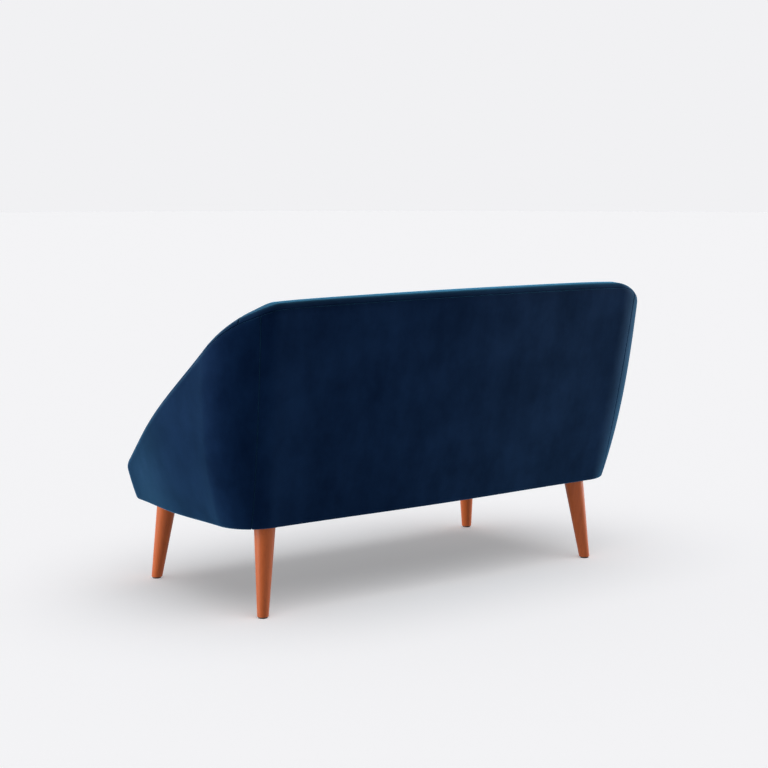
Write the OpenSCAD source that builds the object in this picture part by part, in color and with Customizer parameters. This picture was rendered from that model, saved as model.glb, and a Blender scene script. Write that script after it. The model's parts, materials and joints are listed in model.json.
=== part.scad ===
// Two-seat sofa with a wrap-around shell and four splayed turned legs.
// Millimetres, +Z up, the seat opens towards -Y. The origin is on the floor,
// at the middle of the base. "Left" is the sitter's left, on the +X side.

/* [Overall size] */
// Height of the top of the back above the floor
total_h = 750; // [680:5:900]
// Width of the base at the underside, between the outer covers
base_w = 1196; // [1000:2:1800]
// Outer back cover behind the middle of the base, at the underside
back_y = 228; // [210:1:300]
// Tips of the arms in front of the middle of the base
tip_y = 308; // [290:1:380]
// Clear height under the body
underside_z = 218; // [160:2:260]

/* [Shell outside] */
// Radius of the rear corners at the underside
corner_r = 90; // [80:1:120]
// How far the sides swell outwards between underside and top
side_flare = 67; // [30:1:80]
// How early the sides reach their full swell, 1 is a straight slope
side_flare_power = 3.2; // [1:0.1:3.5]
// How far the back leans rearwards between underside and top
back_lean = 88; // [40:1:120]
// How early the back reaches its full lean, 1 is a straight slope
back_lean_power = 1.1; // [1:0.1:2]
// How far the corner's centre moves sideways from underside to top
corner_shift_x = 28; // [0:1:40]
// How far the corner's centre moves rearwards from underside to top
corner_shift_y = 48; // [0:1:60]
// How much narrower each side is at the front
front_taper = 12; // [0:1:30]
// Bow of each side between front and corner
side_bow = 9; // [0:1:20]
// Bow of the back between the corners
back_bow = 11; // [0:1:20]
// Height of the arms' top line at their tips, above the underside
tip_rise = 73.4; // [65:0.1:90]
// Outer rounding along the top edge
outer_roll = 28; // [20:1:34]
// Inner rounding along the top edge
inner_roll = 45; // [34:1:50]
// Height of the seam below the top edge
seam_drop = 13; // [8:1:18]
// How far the rear seams stand past the flat of the back
seam_x = 50; // [20:1:60]

/* [Arm noses] */
// Length of the rounded nose of each arm, seen from above
nose_l = 50; // [40:1:60]
// Height of the rounding from the arm's top line into the tip
nose_reach = 56.7; // [45:0.1:60]
// Rounding from the tip into the underside
nose_bottom_r = 36; // [25:1:40]

/* [Seat space] */
// Thickness of each arm at the deck, measured from the base's side
arm_t = 90; // [80:1:120]
// How far each arm's inside face leans outwards up to the back's height
arm_inner_lean = 70; // [40:1:80]
// Thickness of the back at the deck, measured from the base's rear
back_t = 86; // [80:1:110]
// How far the inside face of the back leans rearwards up to the top
inner_back_lean = 75; // [50:1:90]
// Radius of the inside corners
inner_corner_r = 70; // [50:1:80]
// Top of the seat deck above the rails
deck_rise = 21; // [18:1:40]

/* [Seat cushion] */
// Thickness of the loose cushion
cushion_h = 115; // [80:1:160]
// Gap between the cushion and the shell
cushion_gap = 6; // [3:0.5:12]
// Corner radius of the cushion
cushion_corner_r = 55; // [30:1:65]
// Length of the cushion's zip
zip_l = 640; // [300:10:760]

/* [Covers and padding] */
// Thickness of the covers
cover_t = 2; // [1.5:0.1:3]
// Gap between one flat layer and the next
layer_gap = 0.3; // [0.2:0.1:0.6]
// Gap between the curved covers and what lies under them
cover_gap = 1.8; // [1.6:0.1:2.4]
// Thickness of the boards under the outer covers
board_t = 3; // [2:0.5:4]
// Foam over the top of the frame
top_foam = 38; // [30:1:50]
// Thickness of the foam on the front border
border_foam = 8; // [6:1:16]
// Front border in front of the arms' tips
border_out = 15; // [10:1:20]
// Thickness of the dust cloth
cloth_t = 1; // [0.6:0.1:1.5]

/* [Frame] */
// Thickness of the rails
rail_t = 25; // [18:1:30]
// Height of the rails
rail_h = 72; // [55:1:76]
// Rails above the underside
rail_lift = 4; // [2:0.5:6]
// Outer cover to the rails, at the underside
rail_inset = 12; // [9:0.5:16]
// Thickness of the front rail
front_rail_t = 20; // [16:1:22]
// Width of each back post
post_w = 40; // [30:1:60]
// Thickness of the tack rail and of the arm panels
panel_t = 15; // [12:1:16]
// Height of the top rail and of the tack rail
cross_h = 36; // [30:1:45]
// Outer cover to the arm panels
panel_inset = 14; // [12:1:18]
// Thickness of the curved corner ribs
rib_t = 15; // [12:1:18]
// Height of the cross rail under the webbing
stretcher_h = 50; // [40:1:54]
// Size of the corner blocks
block_size = 100; // [86:1:120]

/* [Legs] */
// Middle of each foot in from the base's side
foot_inset_x = 80; // [60:1:110]
// Middle of each front foot behind the arms' tips
front_foot_inset = 8; // [0:1:30]
// Middle of each rear foot in front of the base's rear
rear_foot_inset = 31; // [15:1:60]
// Sideways splay of the legs, run over rise
splay_x = 0.107; // [0.05:0.001:0.13]
// Fore-and-aft splay of the legs, run over rise
splay_y = 0.11; // [0.05:0.001:0.13]
// Diameter of the legs at the floor
foot_d = 27; // [24:0.5:36]
// Diameter of the legs at the top
leg_top_d = 52; // [44:0.5:58]
// Diameter of the nylon glides
glide_d = 22; // [18:0.5:24]
// Height of the nylon glides
glide_h = 4; // [3:0.5:6]
// Diameter of the glides' pins
glide_pin_d = 5; // [4:0.5:6]
// Depth of the glides' pins in the legs
glide_pin_l = 14; // [10:1:20]
// Diameter of the leg bolts
bolt_d = 8; // [6:1:10]
// Length of the leg bolts inside the legs
bolt_in_leg = 36; // [25:1:45]
// Length of the leg bolts above the legs
bolt_in_nut = 26; // [20:1:30]
// Outer diameter of the threaded barrel of each tee nut
nut_d = 11; // [10:0.5:12]
// Length of each tee nut's barrel
nut_l = 18; // [14:1:22]
// Flange diameter of each tee nut
nut_flange_d = 22; // [18:1:24]

/* [Springs and webbing] */
// Number of zigzag springs under the seat
spring_n = 6; // [4:1:8]
// Wire diameter of the springs
wire_d = 3.6; // [3:0.2:4]
// Width of the springs across their loops
spring_w = 46; // [36:1:54]
// Loops along each spring
spring_loops = 7; // [5:1:9]
// Width of the back webbing
web_w = 60; // [40:1:80]
// Thickness of the back webbing
web_t = 2; // [1.5:0.1:2.5]
// Number of vertical straps on the back
web_n = 6; // [4:1:8]

/* [Hidden] */

// Short distances that one piece keeps from the next
side_rail_shift = 1;
frame_gap = 1.5;
web_space = 2 * web_t + 1;
panel_step = 2;
panel_head_gap = 6;
panel_under = 4;
pad_lift = 1.5;
pad_least = 3;
board_lift = 2;
board_drop = 1;
border_side_gap = 2;
border_pad_gap = 4;
cloth_in = 4;
deck_in = 3;
front_rail_gap = 8;
spring_stop = 8;
spring_margin = 60;
spring_lift = 3;
// How far a cutting shape runs past the face that it cuts
past = 1;

body_h = total_h - underside_z;
half_base = base_w / 2;
nose_back_y = -tip_y + nose_l;
corner_cx = half_base - corner_r;
corner_cy = back_y - corner_r;
rail_z = underside_z + rail_lift;
rail_top = rail_z + rail_h;
deck_z = rail_top + deck_rise;
inner_half_w = half_base - arm_t;
inner_back_y = back_y - back_t;
border_y = tip_y + border_out;
foot_x = half_base - foot_inset_x;
front_foot_y = tip_y - front_foot_inset;
rear_foot_y = back_y - rear_foot_inset;
arm_slope = (body_h - tip_rise) / (back_y + back_lean + tip_y);
rail_x = half_base - front_taper - rail_inset + side_rail_shift;
rear_rail_y = back_y - rail_inset;
front_rail_y = -border_y + cover_t + layer_gap + border_foam;
post_top = total_h - top_foam - cross_h;
skin = cover_t + cover_gap;
board_in = skin + board_t;
leg_top_z = underside_z;
clear = 0.2;
spring_z = rail_top + spring_lift;
clip_w = 18;
clip_plate = 1.2;
clip_end_t = 3;
clip_drop = 12;
clip_grip = wire_d + 2 * clear;
clip_top = spring_z + clip_grip / 2 + clip_plate;
velvet = [0.05, 0.16, 0.32];
beech = [0.64, 0.34, 0.18];
pine = [0.80, 0.66, 0.46];
foam_colour = [0.93, 0.90, 0.78];
dark_cloth = [0.12, 0.12, 0.13];
steel = [0.66, 0.67, 0.69];

// ---- shape of the shell -------------------------------------------------
// Share of the body's height at height z
function rise(z) = min(max((z - underside_z) / body_h, 0), 1);
function flare(t) = side_flare * (1 - pow(1 - t, side_flare_power));
function lean(t) = back_lean * (1 - pow(1 - t, back_lean_power));
// Height of the top line at depth y, a straight slope up to the back
function slope_z(y) = total_h - arm_slope * max(back_y + back_lean - y, 0);
// Centre of the rear corner at share t of the height
function corner_at(t) = [corner_cx + corner_shift_x * t, corner_cy + corner_shift_y * t];
// The path around the shell: s runs -1 at the left arm's tip, 0 where its nose ends,
// 1 to 2 round the left rear corner, 3 at the middle of the back, and on to 7.
function flip(p) = [-p[0], p[1]];
function outer_xy(s, z) = s > 3 ? flip(outer_xy(6 - s, z)) :
    let (t = rise(z), c = corner_at(t))
    s <= 1 ? let (a = max(s, 0)) [
        half_base + flare(t) - front_taper * pow(1 - a, 2) + side_bow * pow(sin(180 * a), 2),
        nose_back_y + a * (c[1] - nose_back_y)] :
    s <= 2 ? let (f = 90 * (s - 1)) [
        c[0] + (half_base + flare(t) - c[0]) * cos(f),
        c[1] + (back_y + lean(t) - c[1]) * sin(f)] :
    [c[0] * (3 - s), back_y + lean(t) + back_bow * (1 + cos(180 * (3 - s))) / 2];
// The same path on the inside of the shell
function inner_rise(z) = (z - deck_z) / (total_h - deck_z);
function inner_xy(s, z) = s > 3 ? flip(inner_xy(6 - s, z)) :
    let (t = inner_rise(z), hx = inner_half_w + arm_inner_lean * t,
        by = inner_back_y + inner_back_lean * t, r = inner_corner_r)
    s <= 1 ? [hx, nose_back_y + max(s, 0) * (by - r - nose_back_y)] :
    s <= 2 ? [hx - r + r * cos(90 * (s - 1)), by - r + r * sin(90 * (s - 1))] :
    [(hx - r) * (3 - s), by];
// The face of the frame that the padding lies on
function frame_xy(s, z) = s > 3 ? flip(frame_xy(6 - s, z)) :
    let (hx = arm_face_x(z) - frame_gap,
        by = post_y(z) - rail_t - panel_t - web_space, r = frame_corner_r)
    s <= 1 ? [hx, nose_back_y + max(s, 0) * (by - r - nose_back_y)] :
    s <= 2 ? [hx - r + r * cos(90 * (s - 1)), by - r + r * sin(90 * (s - 1))] :
    [(hx - r) * (3 - s), by];
// Inside face of the arm panels, which lean with the sides
panel_foot = rail_x - panel_t - panel_step;
panel_head = half_base + side_flare - panel_inset - panel_t - panel_head_gap;
function arm_face_x(z) = panel_foot + (panel_head - panel_foot) * (z - rail_top)
    / (total_h - rail_top);

// Height of the top line at station s
function rim_z(s, n = 5) = s > 3 ? rim_z(6 - s) :
    s >= 2 ? total_h :
    n == 0 ? slope_z(outer_xy(s, total_h)[1]) :
    slope_z(outer_xy(s, rim_z(s, n - 1))[1]);
// Outline of the noses, seen from the side
nose_bend = (90 + atan(arm_slope)) / 2;
nose_top_r = nose_reach * tan(nose_bend);
// The two arcs of a nose meet this far behind its tip, and its lofts stop at twice that
nose_overlap = 10;
nose_meet = pow(max(nose_bottom_r + nose_reach - tip_rise, nose_overlap)
    / (sqrt(2 * nose_top_r) + sqrt(2 * nose_bottom_r)), 2);
nose_end = asin(1 - 2 * nose_meet / nose_l) / 90;
function nose_top_z(y) =
    let (zc = slope_z(-tip_y) - nose_reach, e = -tip_y + nose_top_r - y)
    y < -tip_y + nose_reach * cos(atan(arm_slope)) ? zc + sqrt(max(pow(nose_top_r, 2) - e * e, 0))
    : slope_z(y);
function nose_bottom_z(y) =
    let (e = min(max(-tip_y + nose_bottom_r - y, 0), nose_bottom_r))
    underside_z + nose_bottom_r - sqrt(pow(nose_bottom_r, 2) - e * e);

// A station: its place on the path, its depth from front, its width share, its top and bottom
function nose_share(s) = s < 0 ? cos(90 * s) : s > 6 ? cos(90 * (s - 6)) : 1;
function nose_y(s, off) = let (k = s < 0 ? -s : s - 6) nose_back_y - (nose_l - off) * sin(90 * k);
function is_nose(s) = s < 0 || s > 6;
function top_z(s) = is_nose(s) ? min(nose_top_z(nose_y(s, 0)), slope_z(nose_y(s, 0))) : rim_z(s);
function bottom_z(s) = is_nose(s) ? nose_bottom_z(nose_y(s, 0)) : underside_z;
function on_path(s) = min(max(s, 0), 6);
// A point of the wall: d millimetres in from the outer face, or e out from the inner face
function squeeze(s, z, p, off) = !is_nose(s) ? [p[0], p[1], z] :
    let (k = on_path(s), m = (outer_xy(k, z)[0] + inner_xy(k, max(z, deck_z))[0]) / 2)
    [m + (p[0] - m) * nose_share(s), nose_y(s, off), z];
function towards(a, b, d) = let (v = b - a) a + v * d / norm(v);
function from_outer(s, z, d, off = 0) = let (k = on_path(s))
    squeeze(s, z, towards(outer_xy(k, z), inner_xy(k, max(z, deck_z)), d), off);
function from_inner(s, z, e, off = 0) = let (k = on_path(s), zi = max(z, deck_z))
    squeeze(s, z, towards(inner_xy(k, zi), outer_xy(k, z), e), off);

// ---- lofts --------------------------------------------------------------
// Each section is two rows of points, one along each face of a layer; sections
// are joined one to the next and the two ends are closed rung by rung.
function steps(a, b, n) = [for (i = [0:n]) a + (b - a) * i / n];
module loft(front_rows, back_rows) {
    n = len(front_rows);
    m = len(front_rows[0]);
    points = [for (i = [0:n-1]) each concat(front_rows[i], back_rows[i])];
    w = 2 * m;
    function f(i, j) = i * w + j;
    function b(i, j) = i * w + m + j;
    walls = [for (i = [0:n-2]) each concat(
        [for (j = [0:m-2]) each [[f(i, j), f(i+1, j), f(i+1, j+1)], [f(i, j), f(i+1, j+1), f(i, j+1)]]],
        [for (j = [0:m-2]) each [[b(i, j), b(i+1, j+1), b(i+1, j)], [b(i, j), b(i, j+1), b(i+1, j+1)]]],
        [[f(i, 0), b(i, 0), b(i+1, 0)], [f(i, 0), b(i+1, 0), f(i+1, 0)]],
        [[f(i, m-1), b(i+1, m-1), b(i, m-1)], [f(i, m-1), f(i+1, m-1), b(i+1, m-1)]])];
    ends = [for (j = [0:m-2]) each [
        [f(0, j), f(0, j+1), b(0, j+1)], [f(0, j), b(0, j+1), b(0, j)],
        [f(n-1, j), b(n-1, j+1), f(n-1, j+1)], [f(n-1, j), b(n-1, j), b(n-1, j+1)]]];
    polyhedron(points, concat(walls, ends), convexity = 8);
}
// Least height of the straight part of a row
short_row = 2;
// Rows of points up the height of a wall, more on a taller body
row_pitch = 90;
wall_rows = ceil(body_h / row_pitch);
// One row of points up the outside at depth off, to angle a of the outer roll
function outer_row(s, z0, off, a, straight = 5, round = 4) =
    let (zt = top_z(s), zr = zt - outer_roll, low = min(z0, zr - short_row))
    concat([for (z = steps(low, zr, straight)) from_outer(s, z, off, off)],
        [for (k = [1:round]) let (g = a * k / round, r = outer_roll - off)
            from_outer(s, zr + r * sin(g), outer_roll - r * cos(g), off)]);
// One row over the top and down the inside at depth off
roll_share = 0.85;
function inner_r(s, z0) = min(inner_roll, roll_share * (top_z(s) - z0));
function inner_row(s, z0, off, a, straight = 5, round = 4) =
    let (zt = top_z(s), r1 = outer_roll - off, ri = inner_r(s, z0), r2 = ri - off)
    concat(
        [for (k = [0:round]) let (g = a + (90 - a) * k / round)
            from_outer(s, zt - outer_roll + r1 * sin(g), outer_roll - r1 * cos(g), off)],
        [for (k = [0:round]) let (g = 90 - 90 * k / round)
            from_inner(s, zt - ri + r2 * sin(g), ri - r2 * cos(g), off)],
        [for (z = steps(zt - ri, z0, straight)) if (z < zt - ri) from_inner(s, z, off, off)]);
seam_angle = asin((outer_roll - seam_drop) / outer_roll);
// One row up the inside at depth off, to the top of the inner roll
function inner_up_row(s, z0, off, straight = 5, round = 4) =
    let (zt = top_z(s), ri = inner_r(s, z0), r2 = ri - off)
    concat([for (z = steps(z0, zt - ri, straight)) from_inner(s, z, off, off)],
        [for (k = [1:round]) let (g = 90 * k / round)
            from_inner(s, zt - ri + r2 * sin(g), ri - r2 * cos(g), off)]);
// Stations moved so that the nominal seam follows a line seam_x from the flat back
seam_at = 1.7;
// Depth below the top at which a station is fixed for the height of its own top
seam_look = 60;
function seam_s(z) = let (t = rise(z), c = corner_at(t))
    1 + acos(min(seam_x / (half_base + flare(t) - c[0]), 1)) / 90;
function warp(s, z) = s > 3 ? 6 - warp(6 - s, z) : s <= 1 ? s :
    s <= seam_at ? 1 + (s - 1) / (seam_at - 1) * (seam_s(z) - 1) :
    seam_s(z) + (s - seam_at) / (3 - seam_at) * (3 - seam_s(z));
// Outer cover rows use warped stations
function cover_row(s, off, straight = wall_rows + 2, round = 3) =
    let (zt = top_z(warp(s, total_h - seam_look)), zr = zt - outer_roll, z0 = bottom_z(s))
    concat([for (z = steps(min(z0, zr - short_row), zr, straight)) from_outer(warp(s, z), z, off, off)],
        [for (k = [1:round]) let (g = seam_angle * k / round, r = outer_roll - off, z = zr + r * sin(g))
            from_outer(warp(s, z), z, outer_roll - r * cos(g), off)]);
// Padding rows: up the frame and out over its top, and up the face and over the roll.
// Both rows have wall_rows + 6 points.
pad_z = clip_top + pad_lift;
roll_step = 30;
function pad_back_row(s) =
    let (zf = max(top_z(s) - top_foam, pad_z + pad_least), o = from_outer(s, zf, skin),
        i = [each frame_xy(s, zf), zf])
    concat([for (z = steps(pad_z, zf, wall_rows)) [each frame_xy(s, z), z]],
        [for (k = [1:5]) i + (o - i) * k / 5]);
function pad_face_row(s) =
    let (zt = top_z(s), ri = inner_r(s, pad_z), r1 = outer_roll - skin, r2 = ri - skin,
        zf = max(zt - top_foam, pad_z + pad_least))
    concat([for (z = steps(pad_z, zt - ri, wall_rows - 3)) from_inner(s, z, skin)],
        [for (k = [1:3]) let (g = roll_step * k)
            from_inner(s, zt - ri + r2 * sin(g), ri - r2 * cos(g))],
        [for (k = [3:-1:0]) let (g = roll_step * k)
            from_outer(s, zt - outer_roll + r1 * sin(g), outer_roll - r1 * cos(g))],
        [from_outer(s, (zf + zt - outer_roll) / 2, skin)]);
module board(stations) {
    rows = [for (s = stations) steps(rail_z + board_lift, top_z(s) - top_foam - board_drop, wall_rows)];
    loft([for (i = [0:len(stations)-1]) [for (z = rows[i]) from_outer(stations[i], z, skin)]],
        [for (i = [0:len(stations)-1]) [for (z = rows[i]) from_outer(stations[i], z, board_in)]]);
}
module padding(stations) {
    loft([for (s = stations) pad_face_row(s)], [for (s = stations) pad_back_row(s)]);
}
module right_hand() {
    mirror([1, 0, 0]) children();
}
nose_stations = [for (share = [1, 0.82, 0.59, 0.35, 0.16, 0.02]) -share * nose_end];
seam_gap = 0.002;

// ---- covers -------------------------------------------------------------
module side_cover() {
    st = concat(nose_stations, steps(0.1, 1, 5), steps(1.12, seam_at - seam_gap, 5));
    loft([for (s = st) cover_row(s, 0)], [for (s = st) cover_row(s, cover_t)]);
}
module outer_side_cover_left() {
    color(velvet) side_cover();
}
module outer_side_cover_right() {
    color(velvet) right_hand() side_cover();
}
module outer_back_cover() {
    st = steps(seam_at + seam_gap, 6 - seam_at - seam_gap, 16);
    color(velvet) loft([for (s = st) cover_row(s, 0)], [for (s = st) cover_row(s, cover_t)]);
}
nose_hem = 0.5;
seam_turn = 1;
function inner_low(s) = s < 0 ? bottom_z(s) + nose_hem : pad_z;
module inner_cover(st) {
    a = seam_angle + seam_turn;
    loft([for (s = st) inner_row(s, inner_low(s), 0, a)],
        [for (s = st) inner_row(s, inner_low(s), cover_t, a)]);
}
inner_seam_at = 1.5;
module inner_arm_cover() {
    inner_cover(concat(nose_stations, [0.005], steps(0.1, 1, 5),
        steps(1.1, inner_seam_at - seam_gap, 4)));
}
module inner_arm_cover_left() {
    color(velvet) inner_arm_cover();
}
module inner_arm_cover_right() {
    color(velvet) right_hand() inner_arm_cover();
}
module inner_back_cover() {
    color(velvet) inner_cover(concat(steps(inner_seam_at + seam_gap, 2, 4), steps(2.2, 3.8, 8),
        steps(4, 6 - inner_seam_at - seam_gap, 4)));
}
module front_border_cover() {
    color(velvet) translate([-inner_half_w + border_side_gap, -border_y, underside_z])
        cube([2 * (inner_half_w - border_side_gap), cover_t, deck_z - cloth_t - underside_z]);
}
module rear_rounded(half_w, y0, y1, r) {
    translate([-half_w, y0]) square([2 * half_w, y1 - r - y0]);
    translate([-half_w + r, y0]) square([2 * (half_w - r), y1 - y0]);
    for (k = [-1, 1]) translate([k * (half_w - r), y1 - r]) circle(r, $fn = 72);
}
module dust_cloth() {
    color(dark_cloth) translate([0, 0, underside_z]) linear_extrude(cloth_t) difference() {
        union() {
            rear_rounded(half_base - front_taper - cloth_in, nose_back_y - 2 * cloth_in,
                back_y - cloth_in, corner_r - cloth_in);
            translate([-inner_half_w + cloth_in, -border_y + skin])
                square([2 * (inner_half_w - cloth_in), nose_l + 2 * border_out]);
        }
        for (leg = LEGS) translate(leg_point(leg, underside_z)) circle(bolt_d, $fn = 40);
    }
}

// ---- padding ------------------------------------------------------------
module nose_pad() {
    st = nose_stations;
    loft([for (s = st) outer_row(s, bottom_z(s) + skin, skin, 90)],
        [for (s = st) inner_up_row(s, bottom_z(s) + skin, skin)]);
}
module nose_pad_left() {
    color(foam_colour) nose_pad();
}
module nose_pad_right() {
    color(foam_colour) right_hand() nose_pad();
}
ARM_STATIONS = concat([0.02], steps(0.1, 0.99, 5));
CORNER_STATIONS = steps(1.01, 1.99, 6);
module arm_pad_left() {
    color(foam_colour) padding(ARM_STATIONS);
}
module arm_pad_right() {
    color(foam_colour) right_hand() padding(ARM_STATIONS);
}
module corner_pad_left() {
    color(foam_colour) padding(CORNER_STATIONS);
}
module corner_pad_right() {
    color(foam_colour) right_hand() padding(CORNER_STATIONS);
}
module back_pad() {
    color(foam_colour) padding(steps(2.01, 3.99, 8));
}
module border_pad() {
    color(foam_colour) translate([-inner_half_w + border_pad_gap, front_rail_y - border_foam,
        underside_z + board_lift])
        cube([2 * (inner_half_w - border_pad_gap), border_foam,
            deck_z - cloth_t - board_drop - underside_z - board_lift]);
}
module back_board() {
    color("tan") board(steps(2.03, 3.97, 8));
}
module side_board() {
    board(concat(steps(0.03, 1, 5), steps(1.15, 1.97, 6)));
}
module side_board_left() {
    color("tan") side_board();
}
module side_board_right() {
    color("tan") right_hand() side_board();
}

// ---- seat deck ----------------------------------------------------------
felt_z = clip_top + layer_gap;
felt_t = 3;
module deck_sheet(z, t) {
    translate([0, 0, z]) linear_extrude(t)
        rear_rounded(inner_half_w - deck_in, front_rail_y + layer_gap,
            inner_back_y - deck_in, inner_corner_r);
}
module deck_felt() {
    color("dimgray") deck_sheet(felt_z, felt_t);
}
module deck_foam() {
    z = felt_z + felt_t + layer_gap;
    color(foam_colour) deck_sheet(z, deck_z - cloth_t - layer_gap - z);
}
module deck_cloth() {
    color(dark_cloth) deck_sheet(deck_z - cloth_t, cloth_t);
}
// Zigzag springs: a wire swept along a wave with full round loops
spring_y0 = front_rail_y + front_rail_t / 2;
spring_y1 = rear_rail_y - rail_t - spring_stop;
spring_pitch = 2 * (inner_half_w - spring_margin) / (spring_n - 1);
loop_points = 8;
loop_bulge = 5;
function spring_x(i) = (i - (spring_n - 1) / 2) * spring_pitch;
module wire(path, r, sides = 6) {
    n = len(path);
    rings = [for (i = [0:n-1]) let (
        v = path[min(i + 1, n - 1)] - path[max(i - 1, 0)], u = v / norm(v), w = [-u[1], u[0], 0])
        each [for (k = [0:sides-1]) let (g = 360 * k / sides) path[i] + r * (w * cos(g) + [0, 0, sin(g)])]];
    walls = [for (i = [0:n-2]) each [for (k = [0:sides-1])
        let (j = (k + 1) % sides, a = i * sides, b = (i + 1) * sides)
        each [[a + k, b + j, a + j], [a + k, b + k, b + j]]]];
    ends = [[for (k = [0:sides-1]) k], [for (k = [sides-1:-1:0]) (n - 1) * sides + k]];
    polyhedron(rings, concat(walls, ends), convexity = 10);
}
module seat_springs() {
    a = (spring_w - wire_d) / 2;
    steps_n = spring_loops * loop_points;
    color(steel) for (i = [0:spring_n-1])
        wire([for (k = [0:steps_n]) let (g = 360 * k * spring_loops / steps_n)
            [spring_x(i) + a * sin(g),
            spring_y0 + (spring_y1 - spring_y0) * k / steps_n - loop_bulge * sin(2 * g), spring_z]],
            wire_d / 2);
}
module clip_pair() {
    hook = 5;
    for (y = [spring_y0, spring_y1])
        translate([-clip_w / 2, y - hook, clip_top - clip_plate]) cube([clip_w, 2 * hook, clip_plate]);
    translate([-clip_w / 2, spring_y0 - hook - clip_plate, rail_top])
        cube([clip_w, clip_plate, clip_top - rail_top]);
    translate([-clip_w / 2, spring_y1 + hook, rail_top - clip_drop])
        cube([clip_w, clip_end_t, clip_top - rail_top + clip_drop]);
}
module spring_clips() {
    color(steel) for (i = [0:spring_n-1]) translate([spring_x(i), 0, 0]) clip_pair();
}

// ---- frame --------------------------------------------------------------
module front_rail() {
    color(pine) translate([-inner_half_w + front_rail_gap, front_rail_y, rail_z])
        cube([2 * (inner_half_w - front_rail_gap), front_rail_t, rail_h]);
}
module rear_rail() {
    color(pine) translate([0, 0, rail_z]) linear_extrude(rail_h) intersection() {
        rear_rounded(half_base - rail_inset, 0, rear_rail_y, corner_r - rail_inset);
        translate([-half_base, rear_rail_y - rail_t]) square([base_w, rail_t]);
    }
}
side_rail_gap = 4;
side_rail_y = nose_back_y + side_rail_gap;
module side_rail() {
    translate([rail_x - rail_t, side_rail_y, rail_z])
        cube([rail_t, rear_rail_y - rail_t - side_rail_y, rail_h]);
}
module side_rail_left() {
    color(pine) side_rail();
}
module side_rail_right() {
    color(pine) right_hand() side_rail();
}
front_rail_back = front_rail_y + front_rail_t;
module cross_rail() {
    color(pine) translate([-rail_t / 2, front_rail_back, rail_z])
        cube([rail_t, rear_rail_y - rail_t - front_rail_back, stretcher_h]);
}
// The blocks stay below the ends of the spring clips
block_under = 6;
block_h = rail_h - clip_drop - block_under;
block_side_gap = 6;
bore_over = 20;
module corner_blocks() {
    x0 = rail_x - rail_t - block_size;
    color(pine) difference() {
        union() for (k = [0, 1]) mirror([k, 0, 0]) {
            difference() {
                translate([x0, front_rail_back, rail_z]) cube([block_size, block_size, block_h]);
                translate([inner_half_w - block_side_gap, front_rail_back - past, rail_z - past])
                    cube([block_size, side_rail_y - front_rail_back + past, block_h + 2 * past]);
            }
            translate([x0, rear_rail_y - rail_t - block_size, rail_z])
                cube([block_size, block_size, block_h]);
        }
        for (leg = LEGS) along_leg(leg) {
            cylinder(h = 2 * bore_over, d = nut_d + 2 * clear, $fn = 48);
            translate([0, 0, -bore_over / 2])
                cylinder(h = bore_over / 2 + nut_seat + clear, d = nut_flange_d + 2 * clear, $fn = 48);
        }
    }
}
// A leaning piece of the back frame between two heights, d in front of the posts' rear face
function post_y(z) = rear_rail_y + post_lean * (z - rail_top);
post_lean = lean(rise(post_top)) / (post_top - rail_top);
module leaning(x0, x1, z0, z1, d, t) {
    translate([x1, 0, 0]) rotate([0, -90, 0]) linear_extrude(x1 - x0)
        polygon([[z0, post_y(z0) - d - t], [z0, post_y(z0) - d],
            [z1, post_y(z1) - d], [z1, post_y(z1) - d - t]]);
}
frame_corner_in = 15;
frame_corner_r = inner_corner_r - frame_corner_in;
post_x = panel_foot - frame_gap - frame_corner_r;
module back_posts() {
    x = [-post_x, -post_x / 3 - post_w / 2, post_x / 3 - post_w / 2, post_x - post_w];
    color(pine) for (a = x) leaning(a, a + post_w, rail_top, post_top, 0, rail_t);
}
module back_top_rail() {
    color(pine) leaning(-post_x, post_x, post_top, post_top + cross_h, 0, rail_t);
}
tack_lift = 15;
tack_z = deck_z + tack_lift;
module back_tack_rail() {
    color(pine) for (z = [tack_z, post_top]) leaning(-post_x, post_x, z, z + cross_h, rail_t, panel_t);
}
module back_webbing() {
    pitch = 2 * (post_x - web_w) / (web_n - 1);
    color("darkslategray") for (i = [0:web_n-1]) let (x = -post_x + web_w + i * pitch)
        leaning(x - web_w / 2, x + web_w / 2, tack_z, post_top + cross_h, rail_t + panel_t, web_t);
}
// Arm panels stand on the side rails and lean with the sides
module arm_panel() {
    y0 = back_y + back_lean - (total_h - rail_top - top_foam - panel_under) / arm_slope;
    yr = rear_rail_y - rail_t - panel_t - web_space - frame_corner_r;
    y_top = yr + post_lean * (slope_z(yr) - top_foam - panel_under - rail_top);
    z_top = slope_z(y_top) - top_foam - panel_under;
    tilt = (panel_head - panel_foot) / (total_h - rail_top);
    translate([panel_foot, 0, rail_top]) multmatrix([[1, 0, tilt, 0], [0, 1, 0, 0], [0, 0, 1, 0]])
        rotate([90, 0, 90]) linear_extrude(panel_t)
        polygon([[max(y0, side_rail_y), 0], [yr, 0], [y_top, z_top - rail_top]]);
}
module arm_panel_left() {
    color("burlywood") arm_panel();
}
module arm_panel_right() {
    color("burlywood") right_hand() arm_panel();
}
rib_proud = 2;
rib_gap = 1.6;
rib_rise = 90;
rib_under = 12;
module rib(z) {
    inset = rail_inset - rib_proud;
    outer = [for (s = steps(1, 2, 10)) let (p = from_outer(s, z, inset)) [p[0], p[1]]];
    inner = [for (s = steps(2, 1, 10)) frame_xy(s, z + rib_t) + [rib_gap, rib_gap]];
    translate([0, 0, z]) linear_extrude(rib_t) polygon(concat(outer, inner));
}
rib_low = rail_top + rib_rise;
rib_high = slope_z(corner_cy + corner_shift_y) - top_foam - rib_t - rib_under;
module corner_ribs() {
    for (z = steps(rib_low, rib_high, 2)) rib(z);
}
module corner_ribs_left() {
    color("burlywood") corner_ribs();
}
module corner_ribs_right() {
    color("burlywood") right_hand() corner_ribs();
}

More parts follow.
